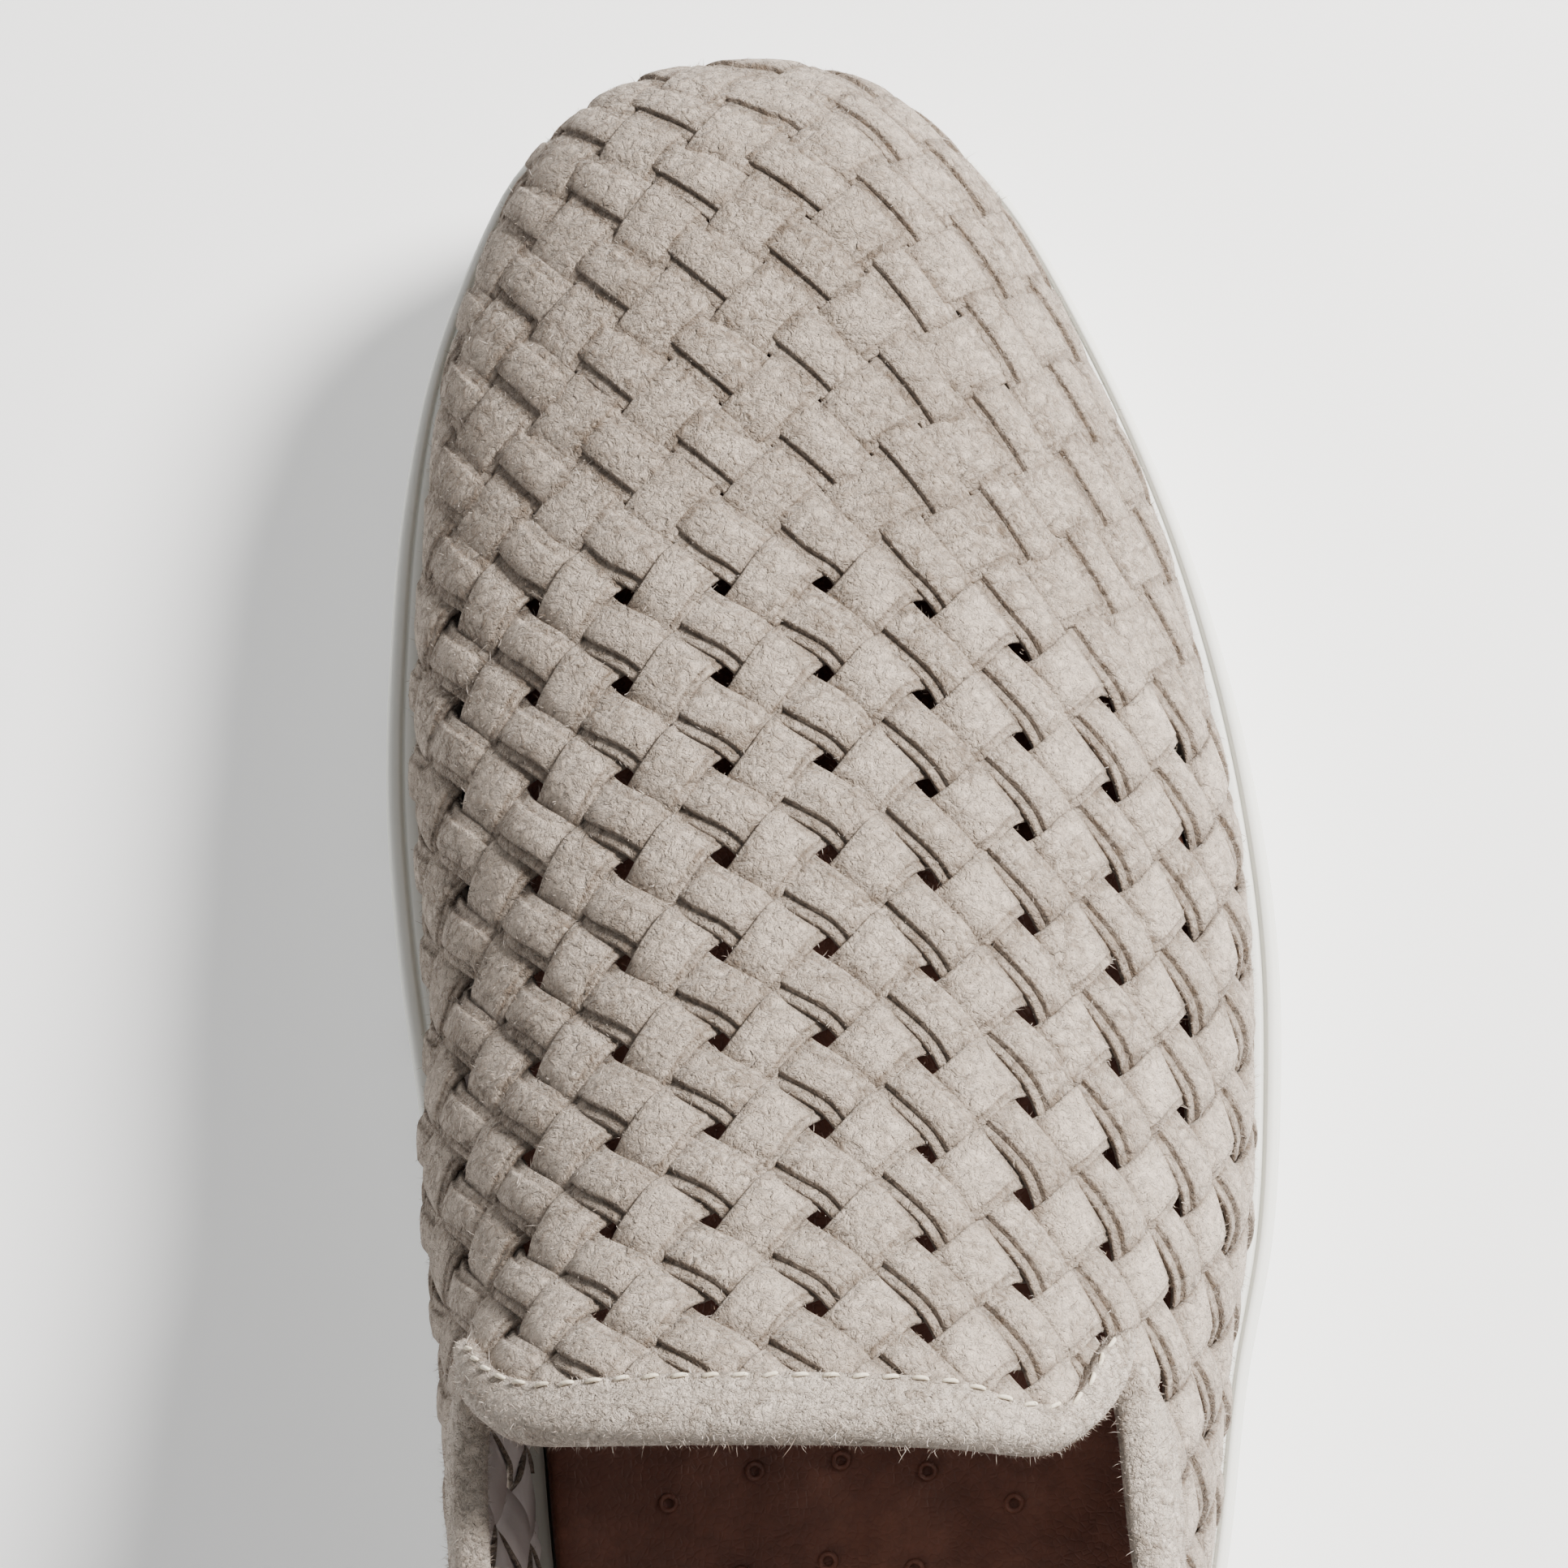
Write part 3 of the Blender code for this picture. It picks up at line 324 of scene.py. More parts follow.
def wall_profile(foot, middle, y, side):
    """Points from the bottom edge up to the ridge in the plane through foot and middle."""
    at = share_of(y)
    outer = side > 0
    width = float(width_at(y))
    full = float(smooth(SECTION, 2 + outer, at))
    bulge = float(smooth(SECTION, 4 + outer, at)) * width
    lean = 0.0 if outer else float(smooth(SECTION, 6, at)) * width
    angle = np.linspace(0.0, math.pi / 2, PROFILE_POINTS)
    reach = np.array(foot) - np.array(middle)
    span = np.linalg.norm(reach)
    direction = reach / span
    total = float(ridge_height(y))
    rise = total * np.sin(angle) ** (2 / full)
    clear = above_rim(rise, max(total, TOE_BOX_HEIGHT))
    out = span * np.cos(angle) ** (2 / full)
    out = out + bulge * swell(clear) + lean * clear * np.sqrt(1 - clear**6)
    ahead = np.clip((y - TOE_Y) / (TOE_OVERHANG_SHARE * SOLE_LENGTH) + 1.0, 0.0, 1.0) ** 2
    forward = TOE_OVERHANG * ahead * swell(above_rim(rise, TOE_BOX_HEIGHT))
    xs = middle[0] + direction[0] * out
    ys = middle[1] + direction[1] * out + forward
    feather = float(rim_height(y)) - LEDGE_DEPTH + EDGE_GAP
    return np.column_stack([xs, ys, feather + rise])


# Profiles of the wall: close together at the toe, then evenly, then round the heel
TOE_STATIONS = 23
TOE_STATION_GROWTH = 0.00004
STATION_STEP = 0.0025
LEG_STATIONS = 26
HEEL_STATIONS = 14
STATION_YS = [TOE_Y - TOE_STATION_GROWTH * (k * k + 0.5) for k in range(TOE_STATIONS)]
while STATION_YS[-1] - STATION_STEP > WEAVE_END_Y:
    STATION_YS.append(STATION_YS[-1] - STATION_STEP)
THROAT_STATION = len(STATION_YS)
STATION_YS += [float(y) for y in np.linspace(WEAVE_END_Y, HEEL_Y, LEG_STATIONS + 1)]
STATION_ANGLES = np.linspace(0.0, math.pi / 2, HEEL_STATIONS + 1)[1:]


def middle_at(y):
    return float(smooth(SECTION, 1, share_of(y))) * float(width_at(y))


def foot_at(line, y):
    order = np.argsort(line[:, 1])
    return float(np.interp(y, line[order, 1], line[order, 0]))


HEEL_OVERLAP = 0.004


def side_table(line, sign):
    """Profiles of one side's wall, with the distance up each profile and the outward normals."""
    profiles = [
        wall_profile((foot_at(line, y), y), (middle_at(y), y), y, sign) for y in STATION_YS
    ]
    middle = (middle_at(HEEL_Y), HEEL_Y)
    turn = np.arctan2(-(line[:, 1] - middle[1]), sign * (line[:, 0] - middle[0]))
    back = line[:, 1] <= HEEL_Y + HEEL_OVERLAP
    order = np.argsort(turn[back])
    for angle in STATION_ANGLES:
        foot = between(angle, turn[back][order], line[back][order])
        profiles.append(wall_profile(foot, middle, foot[1], sign))
    grid = np.array(profiles)
    arcs = np.zeros(grid.shape[:2])
    arcs[:, 1:] = np.cumsum(np.linalg.norm(np.diff(grid, axis=1), axis=2), axis=1)
    normals = np.cross(np.gradient(grid, axis=1), np.gradient(grid, axis=0)) * sign
    normals /= np.maximum(np.linalg.norm(normals, axis=2)[:, :, None], 1e-15)
    normals[0] = (0.0, 1.0, 0.0)
    return grid, arcs, normals


TABLES = {1: side_table(OUTER_LINE, 1), -1: side_table(INNER_LINE, -1)}
SIDE_GIRTH = {side: float(TABLES[side][1][THROAT_STATION, -1]) for side in (1, -1)}
GIRTH = (SIDE_GIRTH[1] + SIDE_GIRTH[-1]) / 2
HALF = HOLE_PITCH / 2
LEG_LINE_SHARE = 0.6


def leg_length(side):
    """Length of the wall from the throat to the heel seam, along its middle height."""
    grid, arcs, _ = TABLES[side]
    height = LEG_LINE_SHARE * TOPLINE_SIDE
    middle = [between(height, arcs[j], grid[j]) for j in range(THROAT_STATION, len(grid))]
    return float(run_along(np.array(middle))[-1])


LEG = (leg_length(1) + leg_length(-1)) / 2
SEAM_ROW = -int(round((LEG - ROW_LEAN / 2 + ROW_OFFSET) / HALF))
SEAM_B = SEAM_ROW * HALF + ROW_OFFSET


def at_arc(side, station, arc):
    """Point and normal of one side's wall, arc above the foot of a station's profile."""
    grid, arcs, normals = TABLES[side]
    return between(arc, arcs[station], np.hstack([grid[station], normals[station]]))


def sheet_line(across, side):
    """One line of constant distance from the ridge: places along it, points and normals."""
    grid, arcs, _ = TABLES[side]
    span = abs(across) * SIDE_GIRTH[side] / GIRTH
    totals = arcs[:, -1]
    first = 0
    while first < THROAT_STATION and totals[first] < span:
        first += 1
    rows = []
    if first > 0:
        t = (span - totals[first - 1]) / (totals[first] - totals[first - 1])
        low = at_arc(side, first - 1, 0.0)
        rows.append(low + (at_arc(side, first, 0.0) - low) * t)
    for j in range(first, len(grid)):
        total = totals[j] if j <= THROAT_STATION else SIDE_GIRTH[side]
        rows.append(at_arc(side, j, total - span))
    rows = np.array(rows)
    run = run_along(rows[:, :3])
    throat = THROAT_STATION - first + (1 if first > 0 else 0)
    lean = 0.0
    if side > 0:
        lean = -ROW_LEAN * math.sin(math.pi / 2 * min(1.0, span / ROW_LEAN_SPAN)) ** 1.5
    places = run[throat] - run - lean
    leg = (run[throat:] - run[throat]) / (run[-1] - run[throat])
    places[throat:] = -lean + leg * (SEAM_B + lean)
    return places[::-1], rows[::-1]


def collar_top(y):
    share = (WEAVE_END_Y - np.asarray(y, float)) / (WEAVE_END_Y + SOLE_LENGTH / 2)
    return blend(COLLAR_LINE, share, TOPLINE_FRONT, TOPLINE_SIDE, TOPLINE_HEEL)


# The sheet as a grid that strips can be laid on
ACROSS = np.linspace(-GIRTH, GIRTH, 241)
SHEET_MARGIN = 0.002
SHEET_END = max(float(sheet_line(0.0, side)[0][-1]) for side in (1, -1)) + SHEET_MARGIN
ALONG = np.linspace(SEAM_B, SHEET_END, 361)
LAST_CELL = 1.000001


def sheet_grid():
    lines = [sheet_line(across, 1 if across >= 0 else -1) for across in ACROSS]
    grid = [between(ALONG, places, rows) for places, rows in lines]
    return np.array(grid), np.array([places[-1] for places, _ in lines])


GRID, ENDS = sheet_grid()


def sheet(across, along):
    """Points and normals of the sheet, and how far each place lies inside the sheet's edge."""
    across = np.asarray(across, float)
    along = np.asarray(along, float)
    behind = along < SEAM_B
    a = np.where(behind, -across, across)
    b = np.where(behind, 2 * SEAM_B - along, along)
    fa = (a + GIRTH) / (2 * GIRTH) * (len(ACROSS) - 1)
    fb = (b - SEAM_B) / (SHEET_END - SEAM_B) * (len(ALONG) - 1)
    fa = np.clip(fa, 0, len(ACROSS) - LAST_CELL)
    fb = np.clip(fb, 0, len(ALONG) - LAST_CELL)
    i = fa.astype(int)
    j = fb.astype(int)
    u = (fa - i)[..., None]
    v = (fb - j)[..., None]
    value = (
        GRID[i, j] * (1 - u) * (1 - v)
        + GRID[i + 1, j] * u * (1 - v)
        + GRID[i, j + 1] * (1 - u) * v
        + GRID[i + 1, j + 1] * u * v
    )
    normal = value[..., 3:]
    normal = normal / np.maximum(np.linalg.norm(normal, axis=-1)[..., None], 1e-9)
    end = np.interp(a, ACROSS, ENDS)
    inside = np.minimum(GIRTH - abs(a), end - b)
    return value[..., :3], normal, inside


def add_object(name, data):
    obj = bpy.data.objects.new(name, data)
    bpy.context.scene.collection.objects.link(obj)
    return obj


def add_mesh(name, mesh, tones):
    """Puts a mesh into the scene, shaded smooth, with its tones as a colour layer."""
    mesh.validate()
    mesh.polygons.foreach_set("use_smooth", np.full(len(mesh.polygons), True))
    if tones is not None:
        layer = mesh.color_attributes.new(name="tone", type="FLOAT_COLOR", domain="POINT")
        layer.data.foreach_set("color", np.asarray(tones, np.float32).ravel())
    return add_object(name, mesh)


def plain_mesh(name, verts, faces, tones=None):
    """Mesh from faces of any size."""
    mesh = bpy.data.meshes.new(name)
    mesh.from_pydata([tuple(map(float, v)) for v in verts], [], [tuple(map(int, f)) for f in faces])
    return add_mesh(name, mesh, tones)


def make_mesh(name, verts, faces, material_ids=None, tones=None):
    """Mesh from a vertex array and a face array of equal rows (quads or triangles)."""
    mesh = bpy.data.meshes.new(name)
    verts = np.asarray(verts, np.float32)
    faces = np.asarray(faces, np.int32)
    per = faces.shape[1]
    mesh.vertices.add(len(verts))
    mesh.vertices.foreach_set("co", verts.ravel())
    mesh.loops.add(faces.size)
    mesh.loops.foreach_set("vertex_index", faces.ravel())
    mesh.polygons.add(len(faces))
    mesh.polygons.foreach_set("loop_start", np.arange(0, faces.size, per, dtype=np.int32))
    mesh.polygons.foreach_set("loop_total", np.full(len(faces), per, np.int32))
    if material_ids is not None:
        mesh.polygons.foreach_set("material_index", np.asarray(material_ids, np.int32))
    mesh.update(calc_edges=True)
    return add_mesh(name, mesh, tones)


def repeated(quads, copies, count):
    """The same quads for every copy of a tube of count points."""
    return (quads + count * np.arange(copies)[:, None, None]).reshape(-1, 4)


def tube_quads(rings, count):
    """Quads between closed rings of count points."""
    low = np.arange(rings - 1)[:, None] * count
    col = np.arange(count)[None, :]
    after = (col + 1) % count
    corners = [low + col, low + after, low + count + after, low + count + col]
    return np.stack(corners, axis=-1).reshape(-1, 4)


def dress(obj, slot, materials, *nodes):
    for material in materials:
        obj.data.materials.append(material)
    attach(obj, "root")
    if nodes:
        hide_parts(*nodes)
    return obj


# Materials
class Graph:
    """Short helper for one material's nodes."""

    def __init__(self, name):
        self.material = bpy.data.materials.new(name)
        self.material.use_nodes = True
        self.nodes = self.material.node_tree.nodes
        self.links = self.material.node_tree.links
        self.place = self.add("ShaderNodeTexCoord").outputs["Object"]

    def add(self, kind, **values):
        node = self.nodes.new(kind)
        for key, value in values.items():
            setattr(node, key, value)
        return node

    def put(self, node, **values):
        """Sets or links the node's sockets; an underscore stands for a space in their names."""
        for key, value in values.items():
            self.feed(node.inputs[key.replace("_", " ")], value)

    def feed(self, socket, value):
        """A number or colour is set on the socket itself, another node's output is linked."""
        if isinstance(value, tuple):
            socket.default_value = (*value, 1.0)
        elif isinstance(value, (int, float)):
            socket.default_value = value
        else:
            self.links.new(value, socket)

    def noise(self, scale, detail=3.0, roughness=0.55, distortion=0.0):
        node = self.add("ShaderNodeTexNoise")
        self.put(node, Vector=self.place, Scale=scale, Detail=detail)
        self.put(node, Roughness=roughness, Distortion=distortion)
        return node.outputs["Fac"]

    def scale(self, value, low, high, out_low=0.0, out_high=1.0):
        node = self.add("ShaderNodeMapRange", clamp=True)
        self.put(node, Value=value, From_Min=low, From_Max=high, To_Min=out_low, To_Max=out_high)
        return node.outputs["Result"]

    def times(self, a, b):
        node = self.add("ShaderNodeMath", operation="MULTIPLY")
        self.feed(node.inputs[0], a)
        self.feed(node.inputs[1], b)
        return node.outputs["Value"]

    def mix(self, factor, a, b):
        node = self.add("ShaderNodeMix", data_type="RGBA")
        for index, value in ((0, factor), (6, a), (7, b)):
            self.feed(node.inputs[index], value)
        return node.outputs[2]

    def bump(self, height, strength, distance, base=None):
        node = self.add("ShaderNodeBump")
        self.put(node, Height=height, Strength=strength, Distance=distance)
        if base is not None:
            self.put(node, Normal=base)
        return node.outputs["Normal"]

    def tone(self):
        """The mesh's tones: raw edges and painted shade in red, painted highlight on tops in green,
        chance in blue.
        """
        node = self.add("ShaderNodeAttribute", attribute_name="tone")
        split = self.add("ShaderNodeSeparateColor")
        self.put(split, Color=node.outputs["Color"])
        return split.outputs

    def done(self, **values):
        self.put(self.nodes["Principled BSDF"], **values)
        return self.material


NAP = (820, 4, 0.62, 0.9)
FINE_NAP = (4200, 2, 0.6)


def suede(name, light, dark, brown):
    g = Graph(name)
    speck = g.scale(g.noise(*NAP), 0.4, 0.6)
    fine = g.scale(g.noise(*FINE_NAP), 0.38, 0.6)
    patch = g.scale(g.noise(240, 3, 0.6, 0.4), 0.36, 0.66)
    broad = g.scale(g.noise(42, 2, 0.5), 0.35, 0.65)
    dusk = g.times(speck, g.scale(patch, 0.0, 1.0, 0.25, 1.0))
    colour = g.mix(dusk, light, dark)
    colour = g.mix(g.times(fine, 0.4), colour, dark)
    colour = g.mix(g.times(broad, 0.22), colour, light)
    tone = g.tone()
    # painted highlight: green lightens the raised tops of the strips
    painted_highlight = g.times(tone["Green"], g.scale(patch, 0.0, 1.0, 0.85, 0.35))
    colour = g.mix(painted_highlight, colour, tuple(min(1.0, c * 1.16) for c in light))
    colour = g.mix(g.times(tone["Blue"], 0.26), colour, dark)
    # red browns the raw edges and paints shade where strips dip under crossings
    edge_and_shade = g.times(tone["Red"], g.scale(speck, 0.0, 1.0, 0.62, 0.95))
    rough = g.bump(g.noise(*NAP), 1.0, 0.0015)
    return g.done(
        Base_Color=g.mix(edge_and_shade, colour, brown),
        Roughness=0.92,
        Specular_IOR_Level=0.18,
        Sheen_Weight=0.28,
        Sheen_Roughness=0.45,
        Sheen_Tint=(0.93, 0.9, 0.86),
        Normal=g.bump(g.noise(*FINE_NAP), 0.85, 0.00024, rough),
    )


def fibre(name, light, dark):
    g = Graph(name)
    colour = g.mix(g.tone()["Blue"], light, dark)
    return g.done(Base_Color=colour, Roughness=0.85, Specular_IOR_Level=0.15)


def lining(name):
    g = Graph(name)
    colour = g.mix(g.scale(g.noise(160), 0.35, 0.65), (0.76, 0.7, 0.69), (0.88, 0.83, 0.81))
    # red darkens the back's edges and paints shade where strips dip under crossings
    colour = g.mix(g.times(g.tone()["Red"], 0.6), colour, (0.22, 0.18, 0.16))
    return g.done(Base_Color=colour, Roughness=0.72, Normal=g.bump(g.noise(2600), 0.35, 0.0001))


def insole_leather(name):
    g = Graph(name)
    broad = g.scale(g.noise(36, 3, 0.6, 0.6), 0.32, 0.68)
    fine = g.scale(g.noise(420, 4, 0.6), 0.38, 0.62)
    colour = g.mix(broad, (0.11, 0.042, 0.027), (0.215, 0.084, 0.052))
    colour = g.mix(g.times(fine, 0.3), colour, (0.07, 0.028, 0.02))
    cells = g.add("ShaderNodeTexVoronoi", feature="DISTANCE_TO_EDGE")
    g.put(cells, Vector=g.place, Scale=1100)
    grain = g.bump(g.scale(cells.outputs["Distance"], 0.0, 0.14), 0.35, 0.00012)
    return g.done(
        Base_Color=colour,
        Roughness=g.scale(broad, 0.0, 1.0, 0.4, 0.56),
        Normal=g.bump(g.noise(2400), 0.25, 0.00008, grain),
    )


def rubber(name):
    g = Graph(name)
    broad = g.scale(g.noise(30, 3, 0.6), 0.3, 0.7)
    speck = g.scale(g.noise(900, 4, 0.7), 0.62, 0.78)
    colour = g.mix(broad, (0.74, 0.75, 0.7), (0.8, 0.8, 0.755))
    colour = g.mix(g.times(speck, 0.22), colour, (0.5, 0.48, 0.42))
    # red darkens the rubber: painted shade in the grooves and under the upper, darker towards the
    # bottom edge
    return g.done(
        Base_Color=g.mix(g.times(g.tone()["Red"], 0.75), colour, (0.33, 0.3, 0.25)),
        Roughness=g.scale(broad, 0.0, 1.0, 0.5, 0.62),
        Specular_IOR_Level=0.35,
        Normal=g.bump(g.noise(1800), 0.22, 0.00008),
    )


def thread(name):
    g = Graph(name)
    colour = g.mix(g.scale(g.noise(900, 2), 0.35, 0.65), (0.66, 0.57, 0.43), (0.8, 0.72, 0.58))
    return g.done(Base_Color=colour, Roughness=0.7, Normal=g.bump(g.noise(5200, 2), 0.6, 0.00008))


SUEDE_LIGHT = (0.62, 0.518, 0.43)
SUEDE_DARK = (0.17, 0.125, 0.09)
SUEDE_BROWN = (0.1, 0.066, 0.042)
STRIP_SUEDE = suede("strip_suede", SUEDE_LIGHT, SUEDE_DARK, SUEDE_BROWN)
BAND_SUEDE = suede("band_suede", (0.71, 0.615, 0.525), (0.25, 0.195, 0.15), SUEDE_BROWN)
FIBRE = fibre("suede_fibre", (0.64, 0.565, 0.5), (0.22, 0.165, 0.125))
LINING = lining("strip_back")
INSOLE_LEATHER = insole_leather("insole_leather")
RUBBER = rubber("cup_sole_rubber")
THREAD = thread("cream_thread")

# Weave. Widths and heights of the strips are in metres, places along them in cells
ROW_STEPS = 9
CHANCE_HALF = 110
CHANCE = np.random.default_rng(11).random((2, 2 * CHANCE_HALF, 2 * CHANCE_HALF, 5))
MIDDLE = -0.00035
WAVE = 0.00062
OPENING_SHIFT = 0.00058
COLLAR_TIP_Y = -0.0145


def chance(family, k, t, which):
    """Seeded value from 0 to 1 that changes smoothly from cell to cell along one strip."""
    row = CHANCE[0 if family > 0 else 1, k + CHANCE_HALF, :, which]
    low = np.floor(t).astype(int)
    part = ramp(0.0, 1.0, t - low)
    return row[low + CHANCE_HALF] * (1 - part) + row[low + CHANCE_HALF + 1] * part


# Closed profile across a strip of each family: place, height, edge tone, back face
RISING_HALF = 0.00372
FALLING_HALF = 0.00385
STRIP_SECTION = {
    1: (
        (-RISING_HALF, 0.0, 0.9, 0),
        (-RISING_HALF + 0.00006, 0.00036, 0.75, 0),
        (-RISING_HALF + 0.0003, 0.00051, 0.3, 0),
        (-0.0018, 0.00055, 0.0, 0),
        (0.0, 0.00057, 0.0, 0),
        (0.0016, 0.00055, 0.0, 0),
        (0.00262, 0.0005, 0.14, 0),
        (0.0028, 0.0003, 0.8, 0),
        (0.00305, 0.00022, 0.55, 0),
        (RISING_HALF - 0.0002, 0.00018, 0.3, 0),
        (RISING_HALF, -0.00006, 0.9, 0),
        (RISING_HALF - 0.0001, -0.0005, 0.9, 1),
        (0.001, -0.00052, 0.0, 1),
        (-0.001, -0.00052, 0.0, 1),
        (-RISING_HALF + 0.0001, -0.0005, 0.9, 1),
    ),
    -1: (
        (-FALLING_HALF, -0.00022, 0.95, 0),
        (-FALLING_HALF + 0.00008, 0.00002, 0.8, 0),
        (-FALLING_HALF + 0.0004, 0.00012, 0.35, 0),
        (-0.00262, 0.00014, 0.55, 0),
        (-0.00236, 0.0001, 1.0, 0),
        (-0.00228, 0.0006, 0.85, 0),
        (-0.002, 0.00078, 0.25, 0),
        (-0.0001, 0.00086, 0.0, 0),
        (0.0018, 0.0008, 0.0, 0),
        (0.00226, 0.00072, 0.12, 0),
        (0.0024, 0.0004, 0.7, 0),
        (0.00262, 0.00026, 0.4, 0),
        (FALLING_HALF - 0.0004, 0.0002, 0.12, 0),
        (FALLING_HALF - 0.00008, 0.0001, 0.55, 0),
        (FALLING_HALF, -0.00016, 0.9, 0),
        (FALLING_HALF - 0.0001, -0.00062, 0.9, 1),
        (0.0, -0.00066, 0.0, 1),
        (-FALLING_HALF + 0.0001, -0.00062, 0.9, 1),
    ),
}
# A crossing's sharpness, and the painted highlight on a strip's top: least, and gain to the lit
# outer side
SHARPNESS = {1: 1.9, -1: 1.35}
TOP_HIGHLIGHT = {1: (0.25, 0.6), -1: (0.1, 0.12)}
# How much a strip's height, sway, width and tilt change by chance
HEIGHT_PLAY = 0.00028
SWAY_PLAY = 0.0005
WIDTH_PLAY = 0.07
TILT_PLAY = 0.1
WIDTH_SHARE = 0.945
WIDTH_GAIN_AHEAD = 0.085
SHEET_REACH = 0.006
COLLAR_COVER = 0.003
FOOT_PLAY = -0.0002


def section_value(side, y, span):
    """Sheet value in the plane at y, span away from the ridge, and the wall's profile there."""
    foot_x = foot_at(OUTER_LINE if side > 0 else INNER_LINE, y)
    profile = wall_profile((foot_x, y), (middle_at(y), y), y, side)
    arcs = run_along(profile)
    arc = arcs[-1] - span
    point = between(arc, arcs, profile)
    tangent = between(arc, arcs, np.gradient(profile, axis=0))
    normal = np.cross(tangent, np.array([0.0, 1.0, -0.36])) * -side
    return np.concatenate([point, normal / np.linalg.norm(normal)]), profile, arcs


def throat_reach(side, y):
    _, profile, arcs = section_value(side, y, 0.0)
    arc = float(np.interp(float(collar_top(y)) + 0.0007, profile[:, 2], arcs))
    return float(arcs[-1] - arc)


# Edges of the throat band from the ridge to its tips: place along it, then share of the reach
# and distance ahead of the straight edge, for its seam edge and for its free edge
FLAP_EDGES = {
    1: (
        (0.0, 0.0, 0.0, 0.0, 0.0011),
        (0.35, 0.38, -0.0004, 0.38, 0.0009),
        (0.55, 0.58, -0.0025, 0.63, 0.0006),
        (0.68, 0.71, -0.0022, 0.79, 0.0028),
        (0.8, 0.8, 0.0004, 0.92, 0.0064),
        (0.9, 0.89, 0.0042, 1.05, 0.0108),
        (1.0, 1.03, 0.0072, 1.12, 0.0144),
    ),
    -1: (
        (0.0, 0.0, 0.0, 0.0, 0.0011),
        (0.35, 0.4, 0.0, 0.4, 0.0012),
        (0.55, 0.66, -0.0003, 0.7, 0.0017),
        (0.68, 0.8, 0.0007, 0.84, 0.003),
        (0.8, 0.93, 0.0028, 0.98, 0.0062),
        (0.9, 1.03, 0.0048, 1.1, 0.0094),
        (1.0, 1.13, 0.007, 1.2, 0.0135),
    ),
}
FLAP_FRONT = WEAVE_END_Y + 0.0004


def collar_share(y):
    """Width of the collar band's front end, which tapers under the flap."""
    return 0.4 + 0.6 * ramp(0.0, 0.0075, COLLAR_TIP_Y - np.asarray(y, float))


THROAT_REACH = {side: throat_reach(side, WEAVE_END_Y) for side in (1, -1)}


def flap_edge(side, at):
    """Share of the reach and distance ahead, for the throat band's seam edge and free edge."""
    return [smooth(FLAP_EDGES[side], column, at) for column in (1, 2, 3, 4)]


def weave_cut(side, share):
    """Where the strips end under the throat band."""
    seam_share, seam_ahead, free_share, free_ahead = flap_edge(side, np.linspace(0.0, 1.0, 41))
    seam = np.interp(share, seam_share, FLAP_FRONT + seam_ahead)
    free = np.interp(share, free_share, THROAT_Y + free_ahead)
    return 0.62 * seam + 0.38 * free


def strip_shape(family, k, t, section):
    """Places and heights of one strip's points on the sheet, its lift and the weave's openness."""
    across = HALF * (k + family * t)
    along = HALF * t + ROW_OFFSET
    near_seam = ramp(0.0, 2.5 * HALF, along - SEAM_B - HALF)
    opening = 1 - ramp(HOLE_ROWS_AHEAD + 0.0015, HOLE_ROWS_AHEAD + 0.0075, along)
    flat = 1 - 0.55 * (1 - opening)
    sharp = SHARPNESS[family]
    lift = np.tanh(sharp * (np.cos(math.pi * t) * family)) / math.tanh(sharp)
    height = MIDDLE + WAVE * flat * lift
    height = height + (chance(family, k, t, 0) - 0.5) * HEIGHT_PLAY * flat
    sway = -family * OPENING_SHIFT * opening * np.sin(math.pi * t)
    sway = sway + (chance(family, k, t, 1) - 0.5) * SWAY_PLAY * near_seam
    width = WIDTH_SHARE + WIDTH_GAIN_AHEAD * (1 - opening)
    width = width + (chance(family, k, t, 2) - 0.5) * WIDTH_PLAY
    tilt = (chance(family, k, t, 3) - 0.5) * TILT_PLAY * near_seam
    c = section[None, :, 0] * width[:, None] + sway[:, None]
    top = section[None, :, 1] * (0.8 + 0.2 * flat[:, None])
    z = height[:, None] + top + tilt[:, None] * section[None, :, 0]
    a = across[:, None] + c / math.sqrt(2.0)
    b = along[:, None] - family * c / math.sqrt(2.0)
    return a, b, z, lift, opening


def strip_tones(family, k, t, section, lift, opening, xs):
    # painted shade where a strip dips under a crossing strip, joined with the raw edges' brown
    painted_dip_shade = np.clip((0.25 - lift) / 0.8, 0, 1)[:, None] * 0.85
    red = np.clip(np.maximum(section[None, :, 2] * 0.92, painted_dip_shade), 0, 1)
    # painted highlight on the raised tops, stronger to the outer side where the key light falls
    green = np.clip(lift, 0, 1)[:, None] * (1 - section[None, :, 2])
    least, gain = TOP_HIGHLIGHT[family]
    green = green * (least + gain * ramp(-0.03, 0.04, xs)) * opening[:, None]
    green = green * (0.5 + chance(family, k, t, 4)[:, None])
    blue = np.repeat(chance(family, k, t + 0.37, 4)[:, None], len(section), axis=1)
    return np.stack([red, green, blue, np.ones_like(green)], axis=-1).reshape(-1, 4)


def outside_opening(a, point):
    """Whether places of the sheet lie neither behind the throat band nor over the collar band."""
    share = np.abs(a) / np.where(a > 0, THROAT_REACH[1], THROAT_REACH[-1])
    cut = np.where(a > 0, weave_cut(1, share), weave_cut(-1, share))
    ys = point[:, :, 1]
    edge = collar_top(ys) - COLLAR_WIDTH * collar_share(ys) + COLLAR_COVER
    return ~((ys < cut) & (point[:, :, 2] > edge))


